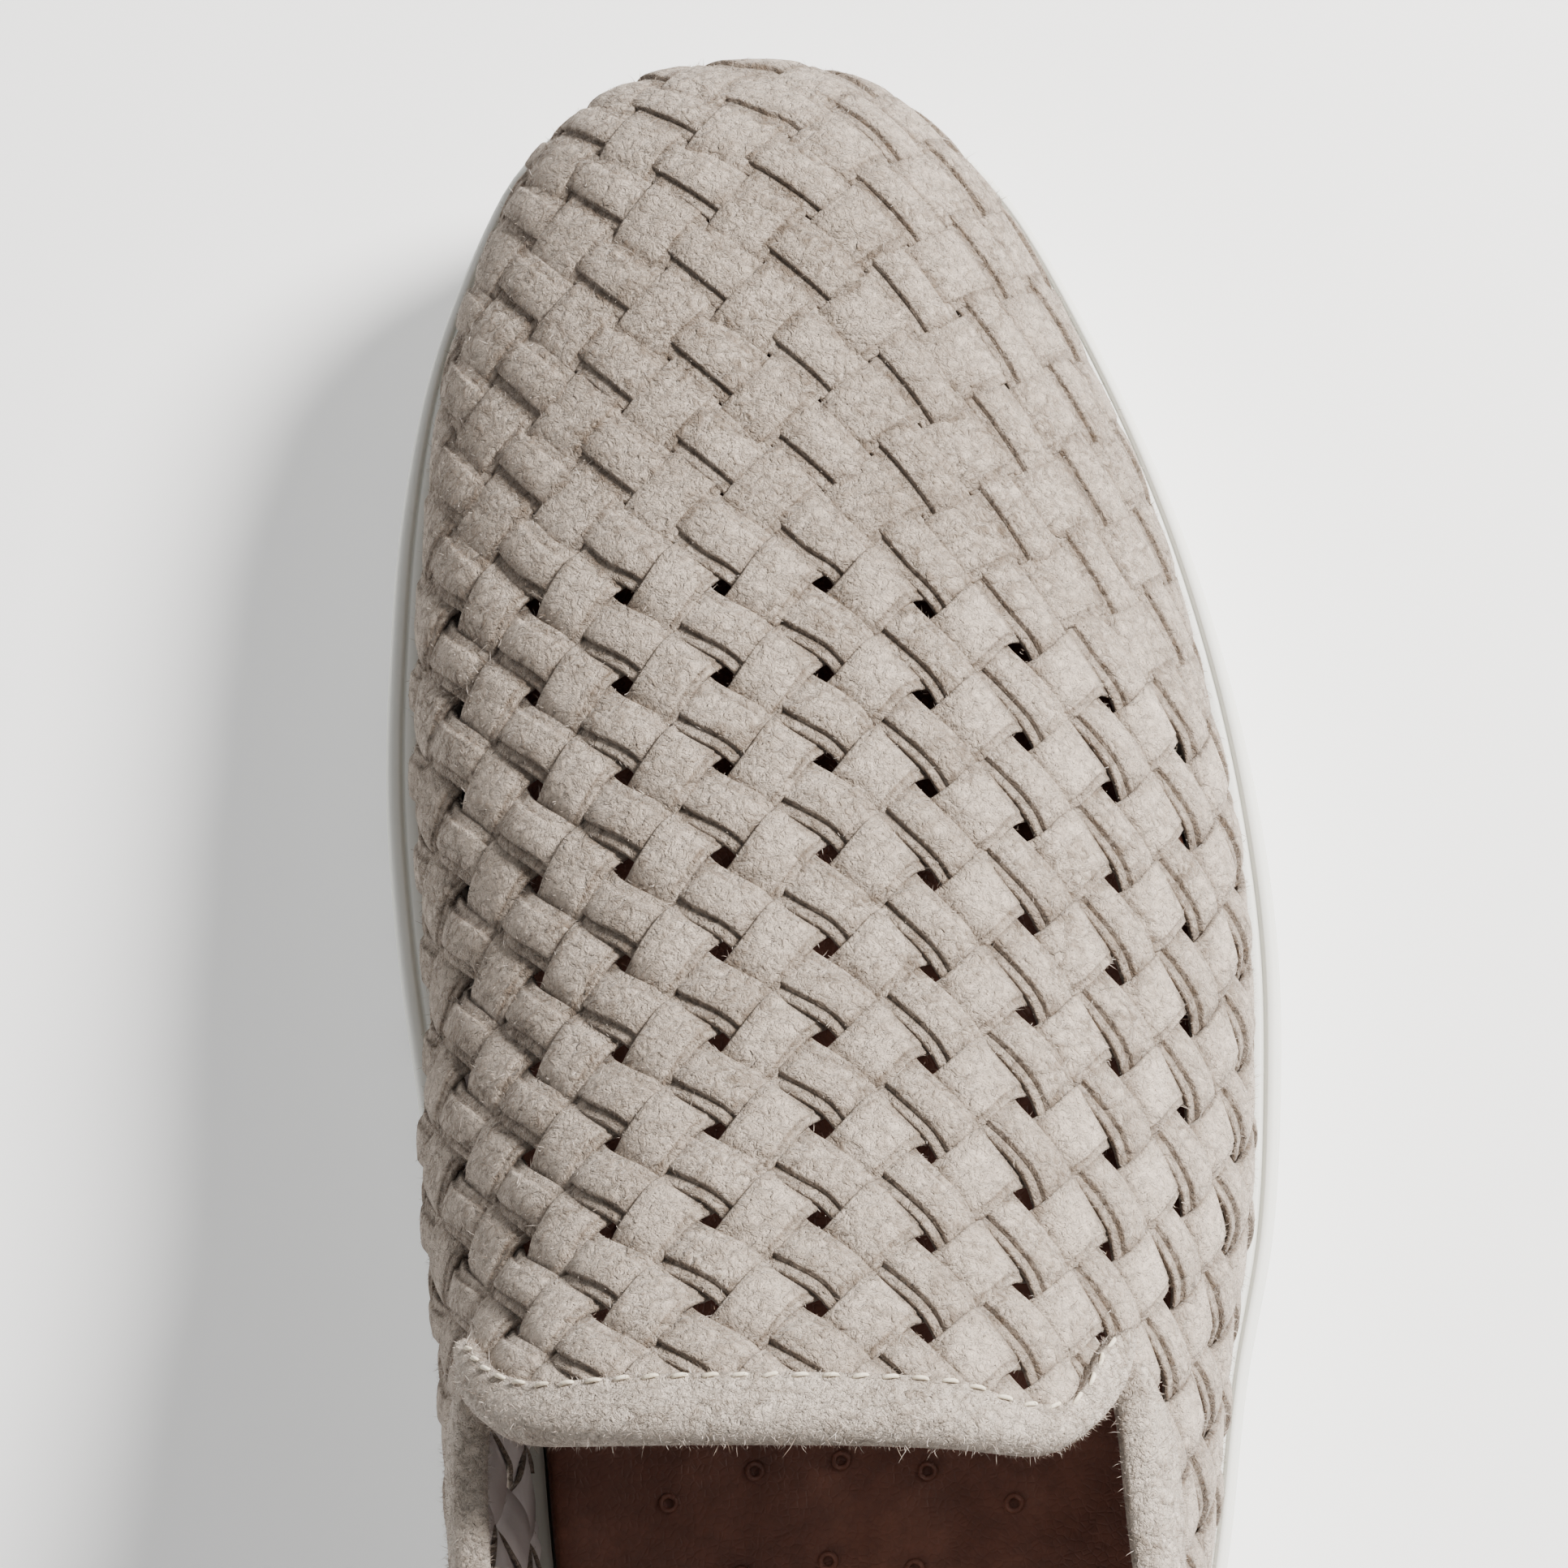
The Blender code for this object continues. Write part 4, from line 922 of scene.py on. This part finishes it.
def build_strips(family, name):
    """All strips of one direction; family 1 rises to the outer side, -1 to the inner side."""
    section = np.array(STRIP_SECTION[family])
    last_row = int(SHEET_END / HALF) + 3
    most = int(GIRTH / HALF) + last_row - SEAM_ROW + 4
    t = np.arange((SEAM_ROW - 2) * ROW_STEPS, last_row * ROW_STEPS + 1) / ROW_STEPS
    all_quads = tube_quads(len(t), len(section))
    parts = []
    start = 0
    for k in range(-most, most + 1):
        if k % 2 == 0 or abs(k) > CHANCE_HALF - 2:
            continue
        on_sheet = abs(HALF * (k + family * t)) < GIRTH + SHEET_REACH
        if not np.any(on_sheet & (HALF * t + ROW_OFFSET < SHEET_END + SHEET_REACH)):
            continue
        a, b, z, lift, opening = strip_shape(family, k, t, section)
        point, normal, inside = sheet(a, b)
        # the wall's bottom edge is hidden inside the rim, so faces beyond it are dropped
        good = ((inside > FOOT_PLAY) & outside_opening(a, point)).ravel()
        keep = good[all_quads].all(axis=1) & (b.ravel()[all_quads].mean(axis=1) >= SEAM_B)
        if not keep.any():
            continue
        quads = all_quads[keep]
        verts = (point + normal * z[:, :, None]).reshape(-1, 3)
        tones = strip_tones(family, k, t, section, lift, opening, point[:, :, 0])
        back = np.tile(section[:, 3] * np.roll(section[:, 3], -1), len(t) - 1)[keep]
        used = np.unique(quads)
        renumber = np.full(len(good), -1, np.int64)
        renumber[used] = np.arange(len(used)) + start
        parts.append((verts[used], renumber[quads][:, ::family], back, tones[used]))
        start += len(used)
    verts, faces, ids, tones = (np.concatenate(column) for column in zip(*parts))
    return make_mesh(name, verts, faces, ids, tones)


# Bindings
LIE_ON_STRIPS = 0.0009
BAND_UNEVEN = 0.05
BAND_CHANCE = 0.35
BAND = (
    # share from the seam to the free edge, height over the sheet, edge tone
    (0.0, 0.0006, 0.9),
    (0.0, 0.0011, 0.8),
    (0.03, 0.00135, 0.3),
    (0.1, 0.00138, 0.1),
    (0.22, 0.0016, 0.0),
    (0.45, 0.00182, 0.0),
    (0.66, 0.00176, 0.0),
    (0.82, 0.00146, 0.0),
    (0.93, 0.00078, 0.0),
    (0.985, -0.0001, 0.0),
    (1.0, -0.00085, 0.0),
    (0.985, -0.0015, 0.1),
    (0.92, -0.00205, 0.1),
    (0.7, -0.00238, 0.0),
    (0.4, -0.0024, 0.0),
    (0.08, -0.00215, 0.4),
    (0.0, -0.0017, 0.9),
)


def band_mesh(name, starts, finishes, lifts):
    """Folded band between two lines of sheet values; lifts says how far it lies on the strips."""
    count = len(BAND)
    rng = np.random.default_rng(5)
    wobble = np.convolve(rng.normal(0, 1, len(starts) + 8), np.ones(9) / 9, "valid")
    points = []
    for a, b, lift, uneven in zip(starts, finishes, lifts, wobble):
        normal = a[3:] + b[3:]
        normal = normal / np.linalg.norm(normal)
        for share, height, _ in BAND:
            if height > 0:
                rise = height * (1.0 + BAND_UNEVEN * uneven) + LIE_ON_STRIPS * lift
            else:
                rise = height * (1 - 0.85 * lift)
            points.append(a[:3] + (b[:3] - a[:3]) * share + normal * rise)
    last = (len(starts) - 1) * count
    caps = []
    for k in range(1, count // 2):
        quad = (k - 1, k, count - k - 1, count - k)
        caps.append(quad)
        caps.append(tuple(last + i for i in quad[::-1]))
    faces = np.vstack([tube_quads(len(starts), count), caps])
    tones = [(tone, 0.0, BAND_CHANCE, 1.0) for _, _, tone in BAND] * len(starts)
    return make_mesh(name, points, faces, None, tones)


def evened(rows, reach, times):
    """Rows smoothed along the band; the ends stay."""
    rows = np.array(rows)
    for _ in range(times):
        padded = np.concatenate([rows[:1]] * reach + [rows] + [rows[-1:]] * reach)
        mean = sum(padded[k : k + len(rows)] for k in range(2 * reach + 1)) / (2 * reach + 1)
        mean[0], mean[-1] = rows[0], rows[-1]
        rows = mean
    return rows


THROAT_STEPS = 64


def build_throat():
    starts = []
    finishes = []
    lifts = []
    for k in range(-THROAT_STEPS, THROAT_STEPS + 1):
        side = 1 if k >= 0 else -1
        at = abs(k) / THROAT_STEPS
        seam_share, seam_ahead, free_share, free_ahead = (float(v) for v in flap_edge(side, at))
        # the tip is rounded off by closing the edges on each other
        close = 0.32 * float(ramp(0.93, 1.0, at)) * (free_share - seam_share)
        seam_y = FLAP_FRONT + seam_ahead
        free_y = THROAT_Y + free_ahead
        seam_share += close
        free_share -= close
        starts.append(section_value(side, seam_y, seam_share * throat_reach(side, seam_y))[0])
        finishes.append(section_value(side, free_y, free_share * throat_reach(side, free_y))[0])
        lifts.append(float(ramp(0.62, 0.86, at)))
    starts = evened(starts, 2, 2)
    finishes = evened(finishes, 3, 2)
    return band_mesh("throat_band", starts, finishes, lifts), starts, finishes, lifts


COLLAR_BAND_WIDTH = COLLAR_WIDTH + 0.0004


def collar_edges(y):
    """Heights of the collar band's seam edge and free edge."""
    top = float(collar_top(y))
    return top - COLLAR_BAND_WIDTH * float(collar_share(y)), top


def collar_rows(side):
    """Pairs of sheet values from the tip under the flap back to the heel seam."""
    rows = []
    for share in (0.0, 0.25, 0.5, 0.75):
        y = COLLAR_TIP_Y + (WEAVE_END_Y - COLLAR_TIP_Y) * share
        _, profile, arcs = section_value(side, y, 0.0)
        spans = [arcs[-1] - float(np.interp(z, profile[:, 2], arcs)) for z in collar_edges(y)]
        rows.append([section_value(side, y, span)[0] for span in spans])
    grid, arcs, _ = TABLES[side]
    for j in range(THROAT_STATION, len(grid)):
        y = float(grid[j][-1, 1]) if j < len(STATION_YS) else float(grid[j][0, 1])
        reach = [float(np.interp(z, grid[j][:, 2], arcs[j])) for z in collar_edges(y)]
        rows.append([at_arc(side, j, arc) for arc in reach])
    return rows


def build_collar():
    def denser(values):
        last = len(values) - 1
        return between(np.linspace(0, last, 3 * last + 1), np.arange(last + 1), values)

    rows = np.array(collar_rows(1) + collar_rows(-1)[:-1][::-1])
    starts, finishes = (evened(denser(rows[:, edge]), 4, 2) for edge in (0, 1))
    return band_mesh("collar_band", starts, finishes, np.zeros(len(starts)))


# Stitches: place along the thread and thickness of each ring
STITCH_RINGS = ((-0.5, 0.25), (-0.42, 0.8), (-0.2, 1.0), (0.2, 1.0), (0.42, 0.8), (0.5, 0.25))
STITCH_SIDES = 8
STITCH_PITCH = 0.0031
STITCH_LENGTH = 0.0018
STITCH_RADIUS = 0.00025
STITCH_SHARE = 0.075
STITCH_HEIGHT = 0.00162
STITCH_AHEAD = 0.0006


def stitch(centre, along, across, up):
    """Small thread stitch as a tube with tapered ends that dip into the leather."""
    rings = []
    for place, fat in STITCH_RINGS:
        angle = np.arange(STITCH_SIDES)[:, None] * math.pi / (STITCH_SIDES // 2)
        round_part = across * np.cos(angle) + up * np.sin(angle)
        sag = up * (2 * place) ** 2 * STITCH_RADIUS * 1.2
        ring = centre + along * STITCH_LENGTH * place + round_part * STITCH_RADIUS * fat
        rings.append(ring - sag)
    return np.vstack(rings)


def build_stitches(starts, finishes, lifts):
    normals = unit(starts[:, 3:])
    line = starts[:, :3] + (finishes[:, :3] - starts[:, :3]) * STITCH_SHARE
    line = line + normals * (STITCH_HEIGHT + LIE_ON_STRIPS * np.array(lifts)[:, None])
    run = run_along(line)
    rng = np.random.default_rng(3)
    verts = []
    at = STITCH_PITCH
    while at < run[-1] - STITCH_PITCH:
        centre = between(at, run, line)
        ahead = between(at + STITCH_AHEAD, run, line)
        up = between(at, run, normals)
        up /= np.linalg.norm(up)
        along = (ahead - centre) / np.linalg.norm(ahead - centre)
        across = np.cross(up, along)
        slant = math.radians(9 + rng.normal(0, 4))
        turned = along * math.cos(slant) + across * math.sin(slant)
        verts.append(stitch(centre, turned, np.cross(up, turned), up))
        at += STITCH_PITCH * (1 + rng.normal(0, 0.02))
    quads = tube_quads(len(STITCH_RINGS), STITCH_SIDES)
    quads = repeated(quads, len(verts), len(verts[0]))
    return make_mesh("throat_stitches", np.vstack(verts), quads)


# Fibres of the suede
STRIP_FIBRES = 60000
THROAT_FIBRES = 14000
COLLAR_FIBRES = 26000
FIBRE_HALF_WIDTH = 0.00003
FIBRE_SPREAD = 0.00035
FIBRE_LENGTH = 0.00016
FIBRE_ROOT = 0.00006
FIBRE_LEAN = (0.35, 0.25, 0.1)


def build_fuzz(strips, name, count, seed):
    """Short suede fibres as thin triangles that stand on the outer faces of the strips."""
    polygons = strips.data.polygons
    total = len(polygons)

    def read(field, width=1, kind=float):
        values = np.empty(total * width, kind)
        polygons.foreach_get(field, values)
        return values

    rng = np.random.default_rng(seed)
    weight = read("area") * (read("material_index", kind=np.int32) == 0)
    picked = rng.choice(total, count, p=weight / weight.sum())
    centre = read("center", 3).reshape(-1, 3)[picked]
    normal = read("normal", 3).reshape(-1, 3)[picked]
    spread = rng.normal(0, FIBRE_SPREAD, (count, 3))
    root = centre + spread - normal * np.sum(spread * normal, axis=1)[:, None]
    lie = rng.normal(0, 1.0, (count, 3)) + np.array(FIBRE_LEAN)
    way = unit(normal * rng.uniform(0.25, 1.0, (count, 1)) + lie * 0.55)
    length = rng.gamma(3.0, FIBRE_LENGTH, (count, 1))
    out = unit(np.cross(way, rng.normal(0, 1, (count, 3)))) * FIBRE_HALF_WIDTH
    bend = rng.normal(0, 0.25, (count, 3)) * length
    low = root - normal * FIBRE_ROOT
    mid = low + way * length * 0.55 + bend * 0.3
    tip = low + way * length + bend
    verts = np.stack([low - out, low + out, mid + out * 0.8, mid - out * 0.8, tip], axis=1)
    base = np.arange(count)[:, None] * 5
    tris = np.concatenate([base + [[0, 1, 2]], base + [[0, 2, 3]], base + [[3, 2, 4]]])
    shade = np.repeat(rng.uniform(0, 1, count), 5)
    tones = np.stack([np.zeros_like(shade), 0.3 * shade, 1 - shade, np.ones_like(shade)], axis=1)
    return make_mesh(name, verts.reshape(-1, 3), tris, None, tones)


# Sole and insole
def ring_loop(count):
    """Evenly spaced places on the outline, paired across for the caps."""

    def pick(line):
        run = run_along(line)
        places = np.interp(np.linspace(0, run[-1], count + 1), run, np.arange(len(line)))
        return [int(round(p)) for p in places]

    inner = np.concatenate([[0], np.arange(len(CURVE) - 1, HALF_COUNT - 1, -1)])
    right = pick(CURVE[: HALF_COUNT + 1])
    left = [int(inner[p]) for p in pick(CURVE[inner])]
    return [0] + right[1:-1] + [HALF_COUNT] + left[1:-1][::-1]


def stack(levels):
    """Closed body from loops of points, with caps bridged across the shoe."""
    count = len(levels[0])
    half = count // 2
    last = (len(levels) - 1) * count
    faces = []
    for low in range(0, last, count):
        high = low + count
        for k in range(count):
            n = (k + 1) % count
            faces.append((low + n, low + k, high + k, high + n))
    for start, way in ((0, 1), (last, -1)):
        for k in range(1, half - 1):
            quad = (start + k, start + k + 1, start + count - k - 1, start + count - k)
            faces.append(quad[::way])
        faces.append((start, start + 1, start + count - 1)[::way])
        faces.append((start + half - 1, start + half, start + half + 1)[::way])
    return np.vstack(levels), faces


LOOP = ring_loop(150)


def level(inset, height_of, lift=0.0, rim=0.0):
    pts = inset_curve(inset, rim)[LOOP]
    heights = np.array([float(height_of(y)) for y in pts[:, 1]]) + lift
    return np.column_stack([pts, heights])


def side_height(share):
    return lambda y: bottom_height(y) + share * (rim_height(y) - bottom_height(y))


GROOVE_SHARE = 0.62
# Grooves of the tread: along the first one, how many
TREAD_FIELDS = ((0.105, 4), (0.585, 5))
SHARP_ANGLE = math.radians(42)


def build_sole():
    groove = side_height(GROOVE_SHARE)
    # inset, height, lift, darkening: painted shade in the groove, darker towards the bottom edge
    wall = (
        (0.0025, bottom_height, 0.0, 0.35),
        (0.0015, bottom_height, 0.0004, 0.2),
        (0.0005, bottom_height, 0.0025, 0.1),
        (0.0, side_height(0.3), 0.0, 0.0),
        (0.0, groove, -0.00075, 0.0),
        (0.00018, groove, -0.00045, 0.1),
        (0.0008, groove, -0.0001, 0.45),
        (0.0008, groove, 0.0001, 0.45),
        (0.00018, groove, 0.00045, 0.1),
        (0.0, groove, 0.00075, 0.0),
        (0.0, side_height(0.85), 0.0, 0.0),
    )
    # inset, lift, share of the rim's width, darkening: painted shade in the rim's groove and under
    # the upper and the insole
    rim = (
        (0.0, -0.0014, 0.0, 0.0),
        (0.00012, -0.0007, 0.0, 0.0),
        (0.00045, -0.0002, 0.0, 0.0),
        (0.0009, 0.0, 0.0, 0.0),
        (0.0, 0.0, 0.36, 0.0),
        (0.0, -0.0001, 0.4, 0.05),
        (0.0, -0.00052, 0.44, 0.32),
        (0.0, -0.00062, 0.48, 0.36),
        (0.0, -0.0005, 0.52, 0.3),
        (0.0, -0.00008, 0.56, 0.05),
        (0.0, 0.0, 0.6, 0.0),
        (0.0, 0.0, 0.78, 0.22),
        (0.0, -0.0001, 0.97, 0.6),
        (0.0, -0.00045, 1.0, 0.85),
        (0.0, -LEDGE_DEPTH, 1.0, 1.0),
        (PAN_INSET, -LEDGE_DEPTH, 1.0, 1.0),
        (PAN_INSET, -PAN_DEPTH, 1.0, 1.0),
    )
    loops = [level(inset, height, lift) for inset, height, lift, _ in wall]
    loops += [level(inset, rim_height, lift, share) for inset, lift, share, _ in rim]
    # last column: painted shade in the grooves and under the upper, darker towards the bottom edge
    tones = np.repeat([(row[-1], 0, 0, 1.0) for row in wall + rim], len(LOOP), axis=0)
    sole = plain_mesh("cup_sole", *stack(loops), tones)
    half = TREAD_GROOVE_WIDTH / 2
    places = []
    for start, number in TREAD_FIELDS:
        places += [(start - 0.5) * SOLE_LENGTH + k * TREAD_GROOVE_PITCH for k in range(number)]
    sides = [(0, 2, 3, 1), (4, 5, 7, 6), (0, 1, 5, 4), (2, 6, 7, 3), (0, 4, 6, 2), (1, 3, 7, 5)]
    cutters = []
    for number, y in enumerate(places):
        box = [
            (x, y + dy, z)
            for z in (-TREAD_GROOVE_DEPTH, TREAD_GROOVE_DEPTH)
            for dy in (-half, half)
            for x in (-BALL_WIDTH, BALL_WIDTH)
        ]
        cutters.append(plain_mesh(f"groove_cut_{number}", box, sides))
        cut = sole.modifiers.new(f"groove_{number}", "BOOLEAN")
        cut.operation = "DIFFERENCE"
        cut.solver = "EXACT"
        cut.object = cutters[-1]
    graph = bpy.context.evaluated_depsgraph_get()
    cut_mesh = bpy.data.meshes.new_from_object(sole.evaluated_get(graph))
    sole.modifiers.clear()
    sole.data = cut_mesh
    for cutter in cutters:
        bpy.data.objects.remove(cutter, do_unlink=True)
    sole.data.set_sharp_from_angle(angle=SHARP_ANGLE)
    return sole


# Upper face of the insole from its edge inwards: inset, drop
INSOLE_DISH = (
    (0.0, 0.0012),
    (0.0002, 0.0006),
    (0.0006, 0.0002),
    (0.0012, 0.0),
    (0.003, 0.00015),
    (0.006, 0.0004),
    (0.009, 0.0007),
    (0.012, 0.0009),
)


def build_insole():
    inset = PAN_INSET + INSOLE_GAP
    low = -PAN_DEPTH + EDGE_GAP
    loops = [level(inset, rim_height, low, 1.0)]
    for step, drop in INSOLE_DISH:
        loops.append(level(inset + step, rim_height, low + INSOLE_THICKNESS - drop, 1.0))
    return plain_mesh("sock_lining", *stack(loops))


RING_RADIUS = 0.00085
RING_TUBE = 0.00034
RING_SIDES = 20
TUBE_SIDES = 8
RING_MARGIN = 0.006
RING_SUNK = 0.0006


def build_eyelets():
    """Small pressed rings in bowed rows across the insole, where it is wide enough."""
    turn = 2 * math.pi * np.arange(RING_SIDES)[:, None] / RING_SIDES
    roll = 2 * math.pi * np.arange(TUBE_SIDES)[None, :] / TUBE_SIDES
    reach = RING_RADIUS + RING_TUBE * np.cos(roll)
    height = np.broadcast_to(RING_TUBE * np.sin(roll), (RING_SIDES, TUBE_SIDES))
    ring = np.stack([reach * np.cos(turn), reach * np.sin(turn), height], axis=-1)
    ring = np.concatenate([ring, ring[:1]]).reshape(-1, 3)
    verts = []
    for row in range(-3, 6):
        for place in range(-3, 3):
            x = 0.001 - 0.0015 * row + 0.0098 * place
            y = -0.0166 - 0.0115 * row - 12.8 * (x - 0.001) ** 2
            inner, outer = foot_at(INNER_LINE, y), foot_at(OUTER_LINE, y)
            if inner + RING_MARGIN < x < outer - RING_MARGIN:
                z = rim_height(y) - PAN_DEPTH + EDGE_GAP + INSOLE_THICKNESS - RING_SUNK
                verts.append(np.array([x, y, z]) + ring)
    quads = repeated(tube_quads(RING_SIDES + 1, TUBE_SIDES), len(verts), len(ring))
    return make_mesh("insole_rings", np.vstack(verts), quads)


# Camera and light
CAMERA_PLACE = (-0.0055, -0.1252, 0.6798)
CAMERA_TILT = math.radians(16)
CAMERA_LENS = 133.8
# Lights: name, place, target, size, power, colour
LIGHTS = (
    ("key", (0.75, 0.45, 0.85), (0.0, 0.02, 0.03), 0.4, 52.0, (1.0, 0.975, 0.94)),
    ("fill", (-0.7, -0.5, 1.0), (0.0, 0.0, 0.03), 0.9, 1.2, (0.95, 0.97, 1.0)),
)
FLOOR_HALF = 3.0
FLOOR_GLOW = 0.3
WORLD_STRENGTH = 0.36


def build_camera():
    data = bpy.data.cameras.new("camera")
    data.lens = CAMERA_LENS
    data.sensor_width = 36.0
    data.dof.use_dof = False
    camera = add_object("camera", data)
    camera.location = CAMERA_PLACE
    camera.rotation_euler = (CAMERA_TILT, 0.0, 0.0)
    bpy.context.scene.camera = camera


def area_light(name, place, target, size, power, colour):
    data = bpy.data.lights.new(name, "AREA")
    data.shape = "DISK"
    data.size = size
    data.energy = power
    data.color = colour
    light = add_object(name, data)
    light.location = place
    reach = np.array(target) - np.array(place)
    yaw = math.atan2(reach[1], reach[0]) - math.pi / 2
    pitch = math.atan2(math.hypot(reach[0], reach[1]), -reach[2])
    light.rotation_euler = (pitch, 0.0, yaw)


def build_stage():
    corners = [(-1, -1), (1, -1), (1, 1), (-1, 1)]
    verts = [(x * FLOOR_HALF, y * FLOOR_HALF, 0) for x, y in corners]
    floor = plain_mesh("floor", verts, [(0, 1, 2, 3)])
    g = Graph("floor_paper")
    colour = g.mix(g.scale(g.noise(3, 2), 0.3, 0.7), (0.9, 0.9, 0.9), (0.93, 0.93, 0.93))
    glow = {"Emission_Color": (1.0, 1.0, 1.0), "Emission_Strength": FLOOR_GLOW}
    floor.data.materials.append(g.done(Base_Color=colour, Roughness=0.9, **glow))
    world = bpy.data.worlds.new("studio")
    world.use_nodes = True
    background = world.node_tree.nodes["Background"]
    background.inputs["Color"].default_value = (1.0, 1.0, 1.0, 1.0)
    background.inputs["Strength"].default_value = WORLD_STRENGTH
    bpy.context.scene.world = world
    for light in LIGHTS:
        area_light(*light)


def main():
    rising = build_strips(1, "strips_rising")
    falling = build_strips(-1, "strips_falling")
    dress(rising, "upper", (STRIP_SUEDE, LINING), "upper")
    dress(falling, "upper", (STRIP_SUEDE, LINING), "upper")
    dress(build_fuzz(rising, "fibres_rising", STRIP_FIBRES, 21), "upper", (FIBRE,))
    dress(build_fuzz(falling, "fibres_falling", STRIP_FIBRES, 22), "upper", (FIBRE,))
    band, starts, finishes, lifts = build_throat()
    dress(band, "throat_binding", (BAND_SUEDE,), "throat_binding")
    dress(build_fuzz(band, "fibres_throat", THROAT_FIBRES, 23), "throat_binding", (FIBRE,))
    dress(build_stitches(starts, finishes, lifts), "throat_binding", (THREAD,))
    collar = build_collar()
    dress(collar, "collar_binding", (BAND_SUEDE,), "collar_binding")
    dress(build_fuzz(collar, "fibres_collar", COLLAR_FIBRES, 24), "collar_binding", (FIBRE,))
    dress(build_sole(), "sole", (RUBBER,), "sole")
    dress(build_insole(), "insole", (INSOLE_LEATHER,), "insole")
    dress(build_eyelets(), "insole", (INSOLE_LEATHER,))
    build_camera()
    build_stage()


main()
